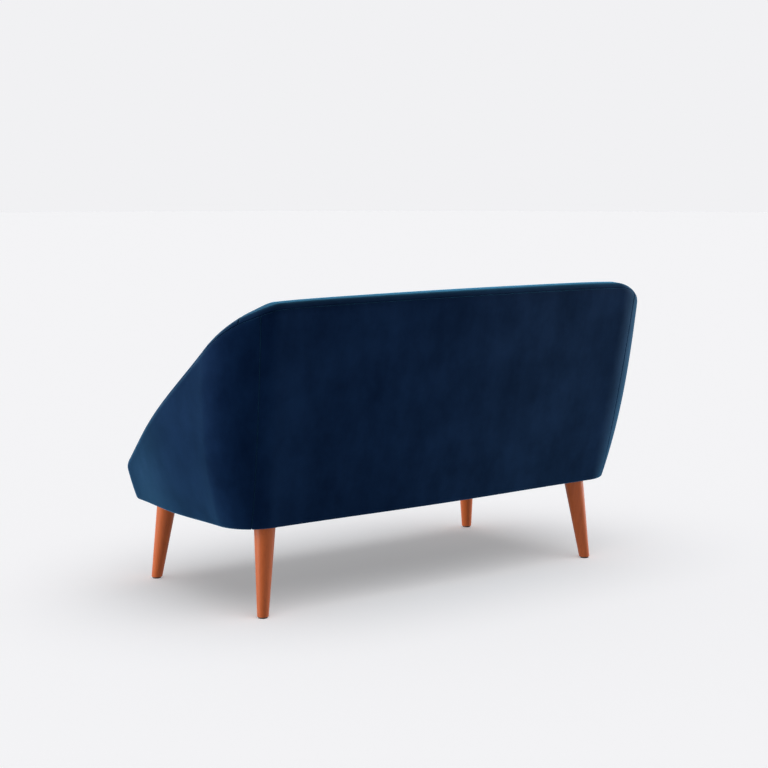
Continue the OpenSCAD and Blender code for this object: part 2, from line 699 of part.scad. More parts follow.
// ---- legs ---------------------------------------------------------------
// Each leg is its side and its end, +1 or -1
LEGS = [[1, -1], [-1, -1], [1, 1], [-1, 1]];
function leg_foot(leg) = [leg[0] * foot_x, leg[1] > 0 ? rear_foot_y : -front_foot_y];
function leg_point(leg, z) = leg_foot(leg) - z * [leg[0] * splay_x, leg[1] * splay_y];
leg_tilt = atan(norm([splay_x, splay_y]));
nut_depth = 4;
nut_seat = rail_lift + nut_depth;
pilot_end = 2;
// Local +Z runs up the leg's axis, from the middle of its top
module along_leg(leg) {
    p = leg_point(leg, leg_top_z);
    translate([p[0], p[1], leg_top_z])
        rotate(leg_tilt, [leg[1] * splay_y, -leg[0] * splay_x, 0]) children();
}
module leg(leg) {
    l = leg_top_z / cos(leg_tilt);
    over = 12;
    grow = (leg_top_d - foot_d) / l;
    color(beech) difference() {
        intersection() {
            along_leg(leg) translate([0, 0, -l - over])
                cylinder(h = l + 2 * over, d1 = foot_d - grow * over,
                    d2 = leg_top_d + grow * over, $fn = 96);
            translate([leg[0] * foot_x - 2 * leg_top_d, leg_foot(leg)[1] - 2 * leg_top_d, glide_h])
                cube([4 * leg_top_d, 4 * leg_top_d, leg_top_z - glide_h]);
        }
        along_leg(leg) translate([0, 0, -bolt_in_leg - pilot_end])
            cylinder(h = bolt_in_leg + bore_over, d = bolt_d + clear, $fn = 48);
        translate([each leg_foot(leg), glide_h - past])
            cylinder(h = glide_pin_l + past + 1, d = glide_pin_d + clear, $fn = 32);
    }
}
module leg_front_left() {
    leg(LEGS[0]);
}
module leg_front_right() {
    leg(LEGS[1]);
}
module leg_rear_left() {
    leg(LEGS[2]);
}
module leg_rear_right() {
    leg(LEGS[3]);
}
module leg_bolts() {
    color(steel) for (leg = LEGS) along_leg(leg) translate([0, 0, -bolt_in_leg])
        cylinder(h = bolt_in_leg + bolt_in_nut, d = bolt_d, $fn = 48);
}
module tee_nuts() {
    flange_t = 1.6;
    color(steel) for (leg = LEGS) along_leg(leg) translate([0, 0, nut_seat]) difference() {
        union() {
            translate([0, 0, -flange_t]) cylinder(h = flange_t, d = nut_flange_d, $fn = 48);
            cylinder(h = nut_l, d = nut_d, $fn = 48);
        }
        translate([0, 0, -bore_over / 2])
            cylinder(h = nut_l + bore_over, d = bolt_d + clear, $fn = 48);
    }
}
module leg_glides() {
    color("dimgray") for (leg = LEGS) translate([each leg_foot(leg), 0]) {
        cylinder(h = glide_h, d = glide_d, $fn = 64);
        cylinder(h = glide_h + glide_pin_l, d = glide_pin_d, $fn = 32);
    }
}

// ---- seat cushion -------------------------------------------------------
cushion_half_w = inner_half_w - cushion_gap;
cushion_back_off = 4;
cushion_y0 = -border_y + cushion_back_off;
cushion_y1 = inner_back_y - cushion_gap;
cushion_z = deck_z + layer_gap;
module cushion_outline(inset) {
    r = cushion_corner_r - inset;
    w = cushion_half_w - inset;
    y0 = cushion_y0 + inset;
    y1 = cushion_y1 - inset;
    translate([-w, y0 + r]) square([2 * w, y1 - y0 - 2 * r]);
    translate([-w + r, y0]) square([2 * (w - r), y1 - y0]);
    for (x = [-w + r, w - r], y = [y0 + r, y1 - r]) translate([x, y]) circle(r, $fn = 72);
}
zip_w = 8;
module zip_space(grow) {
    translate([-zip_l / 2 - grow, cushion_y1 - cover_t - past, cushion_z + cushion_h / 2 - zip_w / 2 - grow])
        cube([zip_l + 2 * grow, cover_t + 2 * past, zip_w + 2 * grow]);
}
module cushion_core() {
    in = cover_t + layer_gap;
    color(foam_colour) translate([0, 0, cushion_z + in]) linear_extrude(cushion_h - 2 * in)
        cushion_outline(in);
}
module cushion_cover() {
    color(velvet) difference() {
        translate([0, 0, cushion_z]) linear_extrude(cushion_h) cushion_outline(0);
        translate([0, 0, cushion_z + cover_t]) linear_extrude(cushion_h - 2 * cover_t)
            cushion_outline(cover_t);
        zip_space(clear);
    }
}
module cushion_zip() {
    color(dark_cloth) intersection() {
        zip_space(0);
        translate([0, 0, cushion_z]) linear_extrude(cushion_h) difference() {
            cushion_outline(0);
            cushion_outline(cover_t);
        }
    }
}

leg_front_left();
leg_front_right();
leg_rear_left();
leg_rear_right();
leg_bolts();
tee_nuts();
leg_glides();
front_rail();
rear_rail();
side_rail_left();
side_rail_right();
cross_rail();
corner_blocks();
back_posts();
back_top_rail();
back_tack_rail();
arm_panel_left();
arm_panel_right();
corner_ribs_left();
corner_ribs_right();
seat_springs();
spring_clips();
back_webbing();
deck_felt();
deck_foam();
deck_cloth();
back_pad();
corner_pad_left();
corner_pad_right();
arm_pad_left();
arm_pad_right();
nose_pad_left();
nose_pad_right();
border_pad();
back_board();
side_board_left();
side_board_right();
outer_back_cover();
outer_side_cover_left();
outer_side_cover_right();
inner_back_cover();
inner_arm_cover_left();
inner_arm_cover_right();
front_border_cover();
dust_cloth();
cushion_core();
cushion_cover();
cushion_zip();
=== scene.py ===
import json
import math
from types import SimpleNamespace

import bmesh
import bpy
import numpy as np
from bpy.props import FloatProperty, FloatVectorProperty, IntProperty, PointerProperty
from bpy.types import Operator, Panel, PropertyGroup
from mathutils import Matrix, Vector
from mathutils.bvhtree import BVHTree

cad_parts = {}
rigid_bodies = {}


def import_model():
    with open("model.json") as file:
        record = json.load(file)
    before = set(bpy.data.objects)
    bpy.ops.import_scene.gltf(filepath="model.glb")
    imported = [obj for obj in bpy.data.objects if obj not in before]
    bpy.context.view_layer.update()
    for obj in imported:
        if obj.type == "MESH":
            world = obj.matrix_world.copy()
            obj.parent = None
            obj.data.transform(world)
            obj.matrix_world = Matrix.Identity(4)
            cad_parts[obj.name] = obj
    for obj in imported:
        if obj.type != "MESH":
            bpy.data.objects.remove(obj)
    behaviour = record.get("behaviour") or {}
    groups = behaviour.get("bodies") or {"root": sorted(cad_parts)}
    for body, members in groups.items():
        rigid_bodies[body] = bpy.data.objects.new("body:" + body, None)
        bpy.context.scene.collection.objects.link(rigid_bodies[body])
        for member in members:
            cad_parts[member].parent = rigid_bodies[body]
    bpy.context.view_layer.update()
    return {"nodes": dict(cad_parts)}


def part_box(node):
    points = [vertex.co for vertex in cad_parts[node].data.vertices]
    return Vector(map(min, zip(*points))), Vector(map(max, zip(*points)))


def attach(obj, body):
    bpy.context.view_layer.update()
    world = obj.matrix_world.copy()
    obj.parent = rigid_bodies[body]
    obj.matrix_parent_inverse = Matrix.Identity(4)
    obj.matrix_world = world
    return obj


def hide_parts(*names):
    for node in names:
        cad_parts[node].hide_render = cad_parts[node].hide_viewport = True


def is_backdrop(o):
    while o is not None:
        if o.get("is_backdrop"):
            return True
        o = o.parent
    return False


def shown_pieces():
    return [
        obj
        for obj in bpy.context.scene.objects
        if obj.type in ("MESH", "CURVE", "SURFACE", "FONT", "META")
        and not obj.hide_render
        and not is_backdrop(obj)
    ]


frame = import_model()

bl_info = {
    "name": "Two-seat Sofa",
    "version": (1, 0, 0),
    "blender": (4, 5, 0),
    "location": "3D View > Sidebar > Sofa",
    "description": "Velvet upholstery, loose cushion, timber and studio stage round a packed sofa frame",
    "category": "Object",
}

RAIL_INSET = 0.012  # outer cover to the rear rail, at the underside
CLOTH_INSET = 0.016  # base's side to the dust cloth's edge
LEGS = ("leg_front_left", "leg_front_right", "leg_rear_left", "leg_rear_right")
SHELL_BODY = "frame"
CUSHION_BODY = "cushion"


def lowest(node):
    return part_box(node)[0]


def highest(node):
    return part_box(node)[1]


def length(name, description, default):
    """A size in metres that a user may change."""
    return FloatProperty(name=name, description=description, default=default, precision=4, unit="LENGTH")


def tint(name, description, default):
    """A colour that a user may change."""
    return FloatVectorProperty(name=name, description=description, default=default, subtype="COLOR",
                               size=3, min=0.0, max=1.0)


# ---- sizes and colours ---------------------------------------------------
class ShellSizes(PropertyGroup):
    """The form of the wrap-around shell."""

    low: length("Underside", "Clear height under the body", lowest("outer_back_cover").z)
    high: length("Top", "Height of the top of the back", highest("inner_back_cover").z)
    half: length("Half base", "Half of the base's width at the underside", highest("dust_cloth").x + CLOTH_INSET)
    back: length("Back", "Outer back cover at the underside", highest("rear_rail").y + RAIL_INSET)
    border: length("Front border", "Front face of the border", -lowest("front_border_cover").y)
    deck: length("Deck", "Top of the seat deck", highest("deck_cloth").z)
    inner_low: length("Inner covers", "Lower edge of the inner covers", lowest("inner_back_cover").z)
    border_out: length("Border step", "Front border in front of the arms' tips", 0.015)
    tip_rise: length("Tip rise", "The arms' top line above the underside, at their tips", 0.0820)
    arm_dip: length("Arm dip", "How far the arms' top line dips under a straight one", 0.006)
    top_crown: length("Top crown", "How far the back's top line rises at its middle", 0.0035)
    shoulder: length("Shoulder", "How far the top line is rounded off at the rear corners", 0.006)
    corner: length("Corner", "Radius of the rear corners at the underside", 0.090)
    corner_out: length("Corner out", "How far the corners move sideways up to the top", 0.028)
    corner_back: length("Corner back", "How far the corners move rearwards up to the top", 0.048)
    side_flare: length("Side flare", "How far the sides swell outwards", 0.067)
    side_power: FloatProperty(name="Side swell", description="How early the sides swell", default=3.2)
    back_lean: length("Back lean", "How far the back leans rearwards", 0.088)
    back_power: FloatProperty(name="Back swell", description="How early the back leans", default=1.1)
    taper: length("Front taper", "How much narrower each side is at the front", 0.012)
    side_bow: length("Side bow", "Bow of each side", 0.009)
    back_bow: length("Back bow", "Bow of the back", 0.011)
    outer_roll: length("Outer roll", "Outer rounding along the top edge", 0.028)
    inner_roll: length("Inner roll", "Inner rounding along the top edge", 0.045)
    seam_drop: length("Seam drop", "Height of the long seam below the top edge", 0.013)
    seam_reach: length("Rear seams", "How far the rear seams stand past the flat of the back", 0.050)
    nose_length: length("Nose", "Length of each arm's rounded nose", 0.050)
    nose_reach: length("Nose top", "Height of the rounding from the arm's top line into its tip", 0.0530)
    nose_under: length("Nose underside", "Rounding from the tip into the underside", 0.040)
    arm_thick: length("Arm thickness", "Thickness of each arm at the deck", 0.090)
    arm_lean: length("Arm inside lean", "How far each arm's inside leans outwards", 0.070)
    back_thick: length("Back thickness", "Thickness of the back at the deck", 0.086)
    inner_lean: length("Back inside lean", "How far the back's inside leans rearwards", 0.075)
    inner_corner: length("Inside corner", "Radius of the inside corners", 0.070)


class SewingSizes(PropertyGroup):
    """Seams, rolled edges and the fullness of the padding."""

    cloth: length("Cloth", "Thickness of the covers", 0.002)
    foam: length("Foam", "Thickness of cover and foam together on the inside", 0.022)
    groove: length("Seam groove", "How deep and wide a seam draws the cover in", 0.0032)
    puff: length("Puff", "How far the padding stands proud beside a seam", 0.0007)
    crown: length("Crown", "How far the padded faces bulge at their middle", 0.005)
    turn_under: length("Turn-under", "Width of cover turned under the rails", 0.020)
    edge_roll: length("Bottom edge", "Rounding of the covers' bottom edge", 0.005)
    piping: length("Piping", "Radius of the cushion's piping", 0.0035)
    cushion_pressure: FloatProperty(name="Cushion pressure", description="Inflation of the cushion", default=4.0)
    cushion_swell: length("Cushion swell", "Most that the cushion may swell anywhere", 0.024)
    cushion_steps: IntProperty(name="Cushion steps", description="Frames the cushion settles for", default=20)


class SofaColours(PropertyGroup):
    """Colours of the materials."""

    velvet_dark: tint("Velvet shade", "Nap brushed away from the light", (0.0006, 0.0060, 0.0260))
    velvet_light: tint("Velvet light", "Nap brushed towards the light", (0.0026, 0.0146, 0.0500))
    velvet_sheen: tint("Velvet sheen", "Light caught by the tips of the pile", (0.13, 0.56, 0.92))
    leg_wood: tint("Leg wood", "Stained beech", (0.400, 0.084, 0.0150))
    leg_grain: tint("Leg grain", "Dark lines in the beech", (0.235, 0.043, 0.0085))
    pine: tint("Pine", "Timber of the hidden frame", (0.60, 0.42, 0.22))
    plywood: tint("Plywood", "Birch plywood", (0.58, 0.43, 0.27))
    lining: tint("Dust cloth", "Black non-woven cloth", (0.012, 0.012, 0.014))
    stage: tint("Stage", "Floor and backdrop", (0.8796, 0.8796, 0.8963))


def shell():
    """The shell's sizes, with the ones that follow from them."""
    p = bpy.context.scene.sofa_shell
    k = SimpleNamespace(**{n: getattr(p, n) for n in ShellSizes.__annotations__})
    k.tip = k.border - k.border_out
    k.nose_back = k.nose_length - k.tip
    k.inner_half = k.half - k.arm_thick
    k.inner_back = k.back - k.back_thick
    k.slope = (k.high - k.low - k.tip_rise) / (k.back + k.back_lean + k.tip)
    k.nose_top = k.nose_reach * math.tan((math.pi / 2 + math.atan(k.slope)) / 2)
    meet = (k.nose_under + k.nose_reach - k.tip_rise) / (math.sqrt(2 * k.nose_top) + math.sqrt(2 * k.nose_under))
    k.nose_end = math.asin(1 - meet ** 2 / k.nose_length) / (math.pi / 2)
    return k


# ---- form of the shell ---------------------------------------------------
# Stations s run round the shell: below 0 the left arm's nose, 0 to 1 the arm, 1 to 2 the rear
# corner, 3 the middle of the back, and the same again on the right, to past 6.
SHOULDER_AT, SHOULDER_WIDTH = 1.72, 0.26
SEAM = 1.7  # the stations of a side cover end here, and follow the rear seam
RIM_STEPS = 6


def halved(s):
    """The side of each station, 1 on the left and -1 on the right, and its place on that half."""
    return np.where(s > 3, -1.0, 1.0), np.where(s > 3, 6 - s, s)


def rise(k, z):
    """Share of the body's height at height z."""
    return np.clip((z - k.low) / (k.high - k.low), 0, 1)


def side_plan(k, t):
    """Half widths at a share of the height: of the swelling sides, and of the corners' centres."""
    return k.half + k.side_flare * (1 - (1 - t) ** k.side_power), k.half - k.corner + k.corner_out * t


def outside(k, s, z):
    """Outer face at station s and height z: a bowed side, a quarter ellipse round the moving
    corner centre, and a bowed back, each pushed out by a power of the height."""
    s, z = np.broadcast_arrays(np.asarray(s, float), np.asarray(z, float))
    (side, j), t = halved(s), rise(k, z)
    swell, cx = side_plan(k, t)
    back, cy = k.back + k.back_lean * (1 - (1 - t) ** k.back_power), k.back - k.corner + k.corner_back * t
    a, f = np.clip(j, 0, 1), (j - 1) * math.pi / 2
    arm_x = swell - k.taper * (1 - a) ** 2 + k.side_bow * np.sin(math.pi * a) ** 2
    arm_y = k.nose_back + a * (cy - k.nose_back)
    back_y = back + k.back_bow * (1 + np.cos(math.pi * (3 - j))) / 2
    x = np.where(j <= 1, arm_x, np.where(j <= 2, cx + (swell - cx) * np.cos(f), cx * (3 - j)))
    y = np.where(j <= 1, arm_y, np.where(j <= 2, cy + (back - cy) * np.sin(f), back_y))
    return side * x, y


def inside(k, s, z):
    """Inner face at station s and height z: straight sides and back that lean outwards,
    joined by a quarter circle."""
    s, z = np.broadcast_arrays(np.asarray(s, float), np.maximum(z, k.deck))
    side, j = halved(s)
    t, r = (z - k.deck) / (k.high - k.deck), k.inner_corner
    hx, by = k.inner_half + k.arm_lean * t, k.inner_back + k.inner_lean * t
    f = (j - 1) * math.pi / 2
    x = np.where(j <= 1, hx, np.where(j <= 2, hx - r + r * np.cos(f), (hx - r) * (3 - j)))
    y = np.where(j <= 1, k.nose_back + np.clip(j, 0, 1) * (by - r - k.nose_back),
                 np.where(j <= 2, by - r + r * np.sin(f), by))
    return side * x, y


def slope_line(k, y):
    """Height of the top line at depth y: a straight slope from tip to back, with a half-sine dip."""
    run = k.back + k.back_lean + k.tip
    below = np.clip(k.back + k.back_lean - y, 0, run)
    return k.high - k.slope * below - k.arm_dip * np.sin(math.pi * below / run)


def rim(k, s):
    """Height of the top line at station s, where the sloping line meets the outer face, less a
    bell-shaped rounding at each shoulder, and with a half-sine crown along the back."""
    z = np.full(np.shape(s), k.high)
    for _ in range(RIM_STEPS):
        z = slope_line(k, outside(k, s, z)[1])
    rounded = k.shoulder * np.exp(-((halved(s)[1] - SHOULDER_AT) / SHOULDER_WIDTH) ** 2)
    rounded = rounded - k.top_crown * np.sin(math.pi * np.clip((s - 2) / 2, 0, 1))
    return np.where((s >= 2) & (s <= 4), k.high, z) - rounded


def nose_share(s):
    """How far a station is into a nose, 0 to 1."""
    return np.maximum(np.maximum(-s, s - 6), 0)


def nose_depth(k, s, inset=0.0):
    """Depth of a station on a nose, spread as a sine so that stations crowd at the tip."""
    return k.nose_back - (k.nose_length - inset) * np.sin(nose_share(s) * math.pi / 2)


def top_line(k, s):
    """Top of the shell: the rim, and on a nose the arc from the slope into the tip."""
    y = nose_depth(k, s)
    centre = slope_line(k, -k.tip) - k.nose_reach
    e = k.nose_top - k.tip - y
    arc = centre + np.sqrt(np.maximum(k.nose_top ** 2 - e ** 2, 0))
    nose = np.where(y < -k.tip + k.nose_reach * math.cos(math.atan(k.slope)), arc, slope_line(k, y))
    return np.where(nose_share(s) > 0, np.minimum(nose, slope_line(k, y)), rim(k, np.clip(s, 0, 6)))


def bottom_line(k, s):
    """Bottom of the shell: level, and on a nose the arc from the underside into the tip."""
    e = np.clip(k.nose_under - k.tip - nose_depth(k, s), 0, k.nose_under)
    return k.low + (k.nose_under - np.sqrt(k.nose_under ** 2 - e ** 2)) * (nose_share(s) > 0)


def nose_width(k, s):
    """Share of the wall's width that is left at a station, a quarter cosine down to the tip."""
    return np.cos(np.minimum(nose_share(s) / k.nose_end, 1) * math.pi / 2)


def in_wall(k, s, z, depth, inset, from_inside):
    """Points depth into the wall from one face, on the level line to the other face. A nose
    draws the wall together about its middle plane as it nears the tip."""
    j = np.clip(s, 0, 6)
    ox, oy = outside(k, j, z)
    ix, iy = inside(k, j, z)
    share = depth / np.hypot(ix - ox, iy - oy)
    share = 1 - share if from_inside else share
    x, y = ox + (ix - ox) * share, oy + (iy - oy) * share
    on_nose, middle = nose_share(s) > 0, (ox + ix) / 2
    x = np.where(on_nose, middle + (x - middle) * nose_width(k, s), x)
    y = np.where(on_nose, nose_depth(k, s, inset), y)
    return np.stack(np.broadcast_arrays(x, y, z), -1)


def rear_seam(k, z):
    """Station of the left rear seam at height z, a set distance outside the flat of the back."""
    swell, cx = side_plan(k, rise(k, z))
    return 1 + np.arccos(np.minimum(k.seam_reach / (swell - cx), 1)) * 2 / math.pi


def follow_seam(k, s, z):
    """Stations moved so that SEAM lies on the rear seam at every height."""
    j, at = halved(s)[1], rear_seam(k, z)
    moved = np.where(j <= 1, j, np.where(j <= SEAM, 1 + (j - 1) / (SEAM - 1) * (at - 1),
                                         at + (j - SEAM) / (3 - SEAM) * (3 - at)))
    return np.where(s > 3, 6 - moved, moved)


# ---- meshes --------------------------------------------------------------
WELD = 1e-6  # points closer than this are merged


def grid(x, y, z):
    """A grid of points from three coordinates, each a grid or one value."""
    return np.stack(np.broadcast_arrays(x, y, z), -1)


def vectors(mesh, field="co"):
    """The place of each of a mesh's vertices, or its normal."""
    values = np.empty(len(mesh.vertices) * 3)
    mesh.vertices.foreach_get(field, values)
    return values.reshape(-1, 3)


def linked(name, data):
    """A new object in the scene."""
    made = bpy.data.objects.new(name, data)
    bpy.context.scene.collection.objects.link(made)
    return made


def closed_sheet(front, back):
    """Vertices and quads of a sheet between two grids of points, its four edges closed."""
    n, m = front.shape[:2]
    points = np.concatenate([front.reshape(-1, 3), back.reshape(-1, 3)])
    at = np.arange(n * m).reshape(n, m)
    face = np.stack([at[:-1, :-1], at[1:, :-1], at[1:, 1:], at[:-1, 1:]], -1).reshape(-1, 4)
    rear = face[:, ::-1] + n * m
    ring = np.concatenate([at[:-1, 0], at[-1, :-1], at[:0:-1, -1], at[0, :0:-1]])
    turn = np.roll(ring, -1)
    edge = np.stack([ring, turn, turn + n * m, ring + n * m], -1)[:, ::-1]
    return points, np.concatenate([face, rear, edge])


def closed_tube(path, radius, sides=12):
    """Vertices and quads of a round cord carried round a closed path of points, a ring at each."""
    ahead = np.roll(path, -1, 0) - np.roll(path, 1, 0)
    ahead /= np.linalg.norm(ahead, axis=1, keepdims=True)
    across = np.cross(ahead, [0.0, 0.0, 1.0])
    across /= np.linalg.norm(across, axis=1, keepdims=True)
    over = np.cross(across, ahead)
    turn = np.arange(sides) * 2 * math.pi / sides
    ring = across[:, None] * np.cos(turn)[None, :, None] + over[:, None] * np.sin(turn)[None, :, None]
    points = (path[:, None] + radius * ring).reshape(-1, 3)
    i, j = np.meshgrid(np.arange(len(path)), np.arange(sides), indexing="ij")
    i2, j2 = (i + 1) % len(path), (j + 1) % sides
    quads = np.stack([i * sides + j, i2 * sides + j, i2 * sides + j2, i * sides + j2], -1).reshape(-1, 4)
    return points, quads


def piece(name, shape, material, body):
    """A new smooth piece from vertices and faces, with its normals outwards and doubles merged,
    riding on a body."""
    points, faces = shape
    mesh = bpy.data.meshes.new(name)
    mesh.from_pydata(np.asarray(points, float).tolist(), [], [list(map(int, f)) for f in faces])
    mesh.validate()
    made = linked(name, mesh)
    tidy_mesh(mesh)
    mesh.polygons.foreach_set("use_smooth", np.full(len(mesh.polygons), True))
    mesh.materials.append(material)
    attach(made, body)
    return made


def tidy_mesh(mesh):
    """Merges doubles, drops faces that lost their area and turns all faces outwards."""
    work = bmesh.new()
    work.from_mesh(mesh)
    bmesh.ops.remove_doubles(work, verts=work.verts, dist=WELD)
    bmesh.ops.dissolve_degenerate(work, edges=work.edges, dist=WELD)
    bmesh.ops.recalc_face_normals(work, faces=work.faces)
    work.to_mesh(mesh)
    work.free()
    mesh.update()


# ---- materials -----------------------------------------------------------
def node(tree, kind, values=None, **settings):
    """A new node with values on its sockets and settings of its own."""
    made = tree.nodes.new(kind)
    for key, value in settings.items():
        setattr(made, key, value)
    for key, value in (values or {}).items():
        made.inputs[key].default_value = value
    return made


def blank_material(name, **shader):
    """A material with one shader, whose constants are set on its own sockets. Returned with its
    tree, its shader and the object coordinates."""
    material = bpy.data.materials.new(name)
    material.use_nodes = True
    tree = material.node_tree
    bsdf = tree.nodes["Principled BSDF"]
    for key, value in shader.items():
        bsdf.inputs[key.replace("_", " ")].default_value = value
    return material, tree, bsdf, node(tree, "ShaderNodeTexCoord").outputs["Object"]


def scaled(colour, share):
    """A colour made darker or lighter."""
    return tuple(min(v * share, 1.0) for v in colour)


def noise(tree, place, scale, detail=3.0, stretch=(1, 1, 1), roughness=0.55):
    """Noise at a place, stretched along the axes whose share is small."""
    mapping = node(tree, "ShaderNodeMapping", {"Scale": stretch})
    made = node(tree, "ShaderNodeTexNoise", {"Scale": scale, "Detail": detail, "Roughness": roughness})
    tree.links.new(place, mapping.inputs["Vector"])
    tree.links.new(mapping.outputs["Vector"], made.inputs["Vector"])
    return made.outputs["Fac"]


def spread(tree, value, low, high, out_low=0.0, out_high=1.0):
    """A value moved from one range to another."""
    made = node(tree, "ShaderNodeMapRange", {"From Min": low, "From Max": high, "To Min": out_low,
                                             "To Max": out_high})
    tree.links.new(value, made.inputs["Value"])
    return made.outputs["Result"]


def between(tree, share, first, second):
    """A colour between two, each a colour or another node's output."""
    made = node(tree, "ShaderNodeMix", data_type="RGBA")
    tree.links.new(share, made.inputs["Factor"])
    for socket, value in (("A", first), ("B", second)):
        target = next(i for i in made.inputs if i.name == socket and i.type == "RGBA")
        if isinstance(value, bpy.types.NodeSocket):
            tree.links.new(value, target)
        else:
            target.default_value = (*value, 1.0)
    return next(o for o in made.outputs if o.type == "RGBA")


def total(tree, first, second, first_share=1.0, second_share=1.0):
    """The sum of two values, each with its share."""
    parts = []
    for value, share in ((first, first_share), (second, second_share)):
        made = node(tree, "ShaderNodeMath", {1: share}, operation="MULTIPLY")
        tree.links.new(value, made.inputs[0])
        parts.append(made.outputs[0])
    made = node(tree, "ShaderNodeMath", operation="ADD")
    tree.links.new(parts[0], made.inputs[0])
    tree.links.new(parts[1], made.inputs[1])
    return made.outputs[0]


def raised(tree, bsdf, height, distance, strength):
    """A bump of a height on the shader."""
    bump = node(tree, "ShaderNodeBump", {"Strength": strength, "Distance": distance})
    tree.links.new(height, bump.inputs["Height"])
    tree.links.new(bump.outputs["Normal"], bsdf.inputs["Normal"])


def velvet():
    """Short-pile velvet: cloudy patches where the nap lies differently, faint vertical brushing,
    the prick of the pile in colour and bump, and a coloured sheen off its tips."""
    c = bpy.context.scene.sofa_colours
    material, tree, bsdf, place = blank_material(
        "velvet", Roughness=0.82, Specular_IOR_Level=0.03, Sheen_Weight=0.45, Sheen_Roughness=0.35,
        Sheen_Tint=(*c.velvet_sheen, 1.0))
    clouds = spread(tree, noise(tree, place, 7.0, 6.0, roughness=0.62), 0.38, 0.62)
    brushed = spread(tree, noise(tree, place, 22.0, 4.0, (1, 1, 0.35)), 0.34, 0.66)
    pile = noise(tree, place, 1500.0, 2.0)
    nap = total(tree, clouds, brushed, 0.62, 0.38)
    colour = between(tree, nap, c.velvet_dark, c.velvet_light)
    prick = spread(tree, pile, 0.3, 0.7, 0.0, 0.35)
    colour = between(tree, prick, colour, scaled(c.velvet_dark, 0.55))
    tree.links.new(colour, bsdf.inputs["Base Color"])
    tree.links.new(spread(tree, nap, 0.0, 1.0, 0.88, 0.74), bsdf.inputs["Roughness"])
    raised(tree, bsdf, total(tree, pile, nap, 0.4, 0.6), 0.0006, 0.35)
    return material


LEAN_BACK, LEAN_OUT = 0.11, 0.107  # the legs' lean, in radians


def stained_beech(leg):
    """Orange-brown beech: long grain along the leg's own lean, short dark flecks, satin lacquer."""
    c = bpy.context.scene.sofa_colours
    side, end = (1 if highest(leg)[axis] > 0 else -1 for axis in (0, 1))
    material, tree, bsdf, place = blank_material(
        f"stained_beech_{leg}", Roughness=0.42, Specular_IOR_Level=0.25, Coat_Weight=0.10, Coat_Roughness=0.25)
    lean = node(tree, "ShaderNodeMapping", {"Rotation": (end * LEAN_BACK, -side * LEAN_OUT, 0.0),
                                            "Location": (side * 0.37, end * 0.21, 0.0)})
    tree.links.new(place, lean.inputs["Vector"])
    along = lean.outputs["Vector"]
    warp = noise(tree, along, 9.0, 3.0, (1, 1, 0.10))
    grain = noise(tree, along, 170.0, 5.0, (1, 1, 0.035), roughness=0.65)
    fleck = noise(tree, along, 520.0, 2.0, (1, 1, 0.10))
    tone = total(tree, spread(tree, warp, 0.3, 0.7), spread(tree, grain, 0.3, 0.7), 0.45, 0.55)
    colour = between(tree, tone, c.leg_grain, scaled(c.leg_wood, 1.18))
    colour = between(tree, spread(tree, tone, 0.0, 1.0, 0.35, 1.0), colour, c.leg_wood)
    colour = between(tree, spread(tree, fleck, 0.62, 0.72, 0.0, 0.55), colour, c.leg_grain)
    tree.links.new(colour, bsdf.inputs["Base Color"])
    tree.links.new(spread(tree, grain, 0.2, 0.8, 0.33, 0.46), bsdf.inputs["Roughness"])
    raised(tree, bsdf, grain, 0.0002, 0.30)
    return material


def sawn_wood(name, colour, stretch):
    """Unfinished timber: broad rings and fine sawn lines along one direction."""
    material, tree, bsdf, place = blank_material(name, Roughness=0.72, Specular_IOR_Level=0.25)
    rings = spread(tree, noise(tree, place, 26.0, 4.0, stretch), 0.3, 0.7)
    lines = noise(tree, place, 260.0, 3.0, stretch)
    tone = total(tree, rings, lines, 0.6, 0.4)
    tree.links.new(between(tree, tone, scaled(colour, 0.62), colour), bsdf.inputs["Base Color"])
    tree.links.new(spread(tree, lines, 0.0, 1.0, 0.62, 0.82), bsdf.inputs["Roughness"])
    raised(tree, bsdf, lines, 0.0004, 0.4)
    return material


def metal(name, colour, roughness, scale):
    """Brushed or plated steel with fine cloudy wear."""
    material, tree, bsdf, place = blank_material(name, Metallic=1.0)
    wear = noise(tree, place, scale, 5.0)
    fine = noise(tree, place, scale * 14, 2.0, (1, 1, 0.2))
    tree.links.new(between(tree, wear, scaled(colour, 0.7), colour), bsdf.inputs["Base Color"])
    tree.links.new(spread(tree, wear, 0.3, 0.7, roughness - 0.08, roughness + 0.12), bsdf.inputs["Roughness"])
    raised(tree, bsdf, fine, 0.0001, 0.3)
    return material


def plain_cloth(name, colour, scale):
    """A flat cloth: crossed threads from two wave patterns, with uneven yarn."""
    material, tree, bsdf, place = blank_material(name, Roughness=0.9, Specular_IOR_Level=0.15)
    threads = []
    for direction in ("X", "Y"):
        wave = node(tree, "ShaderNodeTexWave", {"Scale": scale, "Distortion": 0.6, "Detail": 1.0},
                    bands_direction=direction)
        tree.links.new(place, wave.inputs["Vector"])
        threads.append(wave.outputs["Fac"])
    weave = total(tree, threads[0], threads[1], 0.5, 0.5)
    patch = noise(tree, place, 30.0, 4.0)
    tone = total(tree, weave, patch, 0.55, 0.45)
    tree.links.new(between(tree, tone, colour, scaled(colour, 1.6)), bsdf.inputs["Base Color"])
    raised(tree, bsdf, weave, 0.0003, 0.5)
    return material


def moulded(name, colour, roughness):
    """Moulded plastic with a fine texture."""
    material, tree, bsdf, place = blank_material(name, Roughness=roughness, Specular_IOR_Level=0.4)
    grain = noise(tree, place, 900.0, 2.0)
    tree.links.new(between(tree, grain, scaled(colour, 0.8), colour), bsdf.inputs["Base Color"])
    tree.links.new(spread(tree, grain, 0.2, 0.8, roughness - 0.08, roughness + 0.1), bsdf.inputs["Roughness"])
    raised(tree, bsdf, grain, 0.0001, 0.3)
    return material


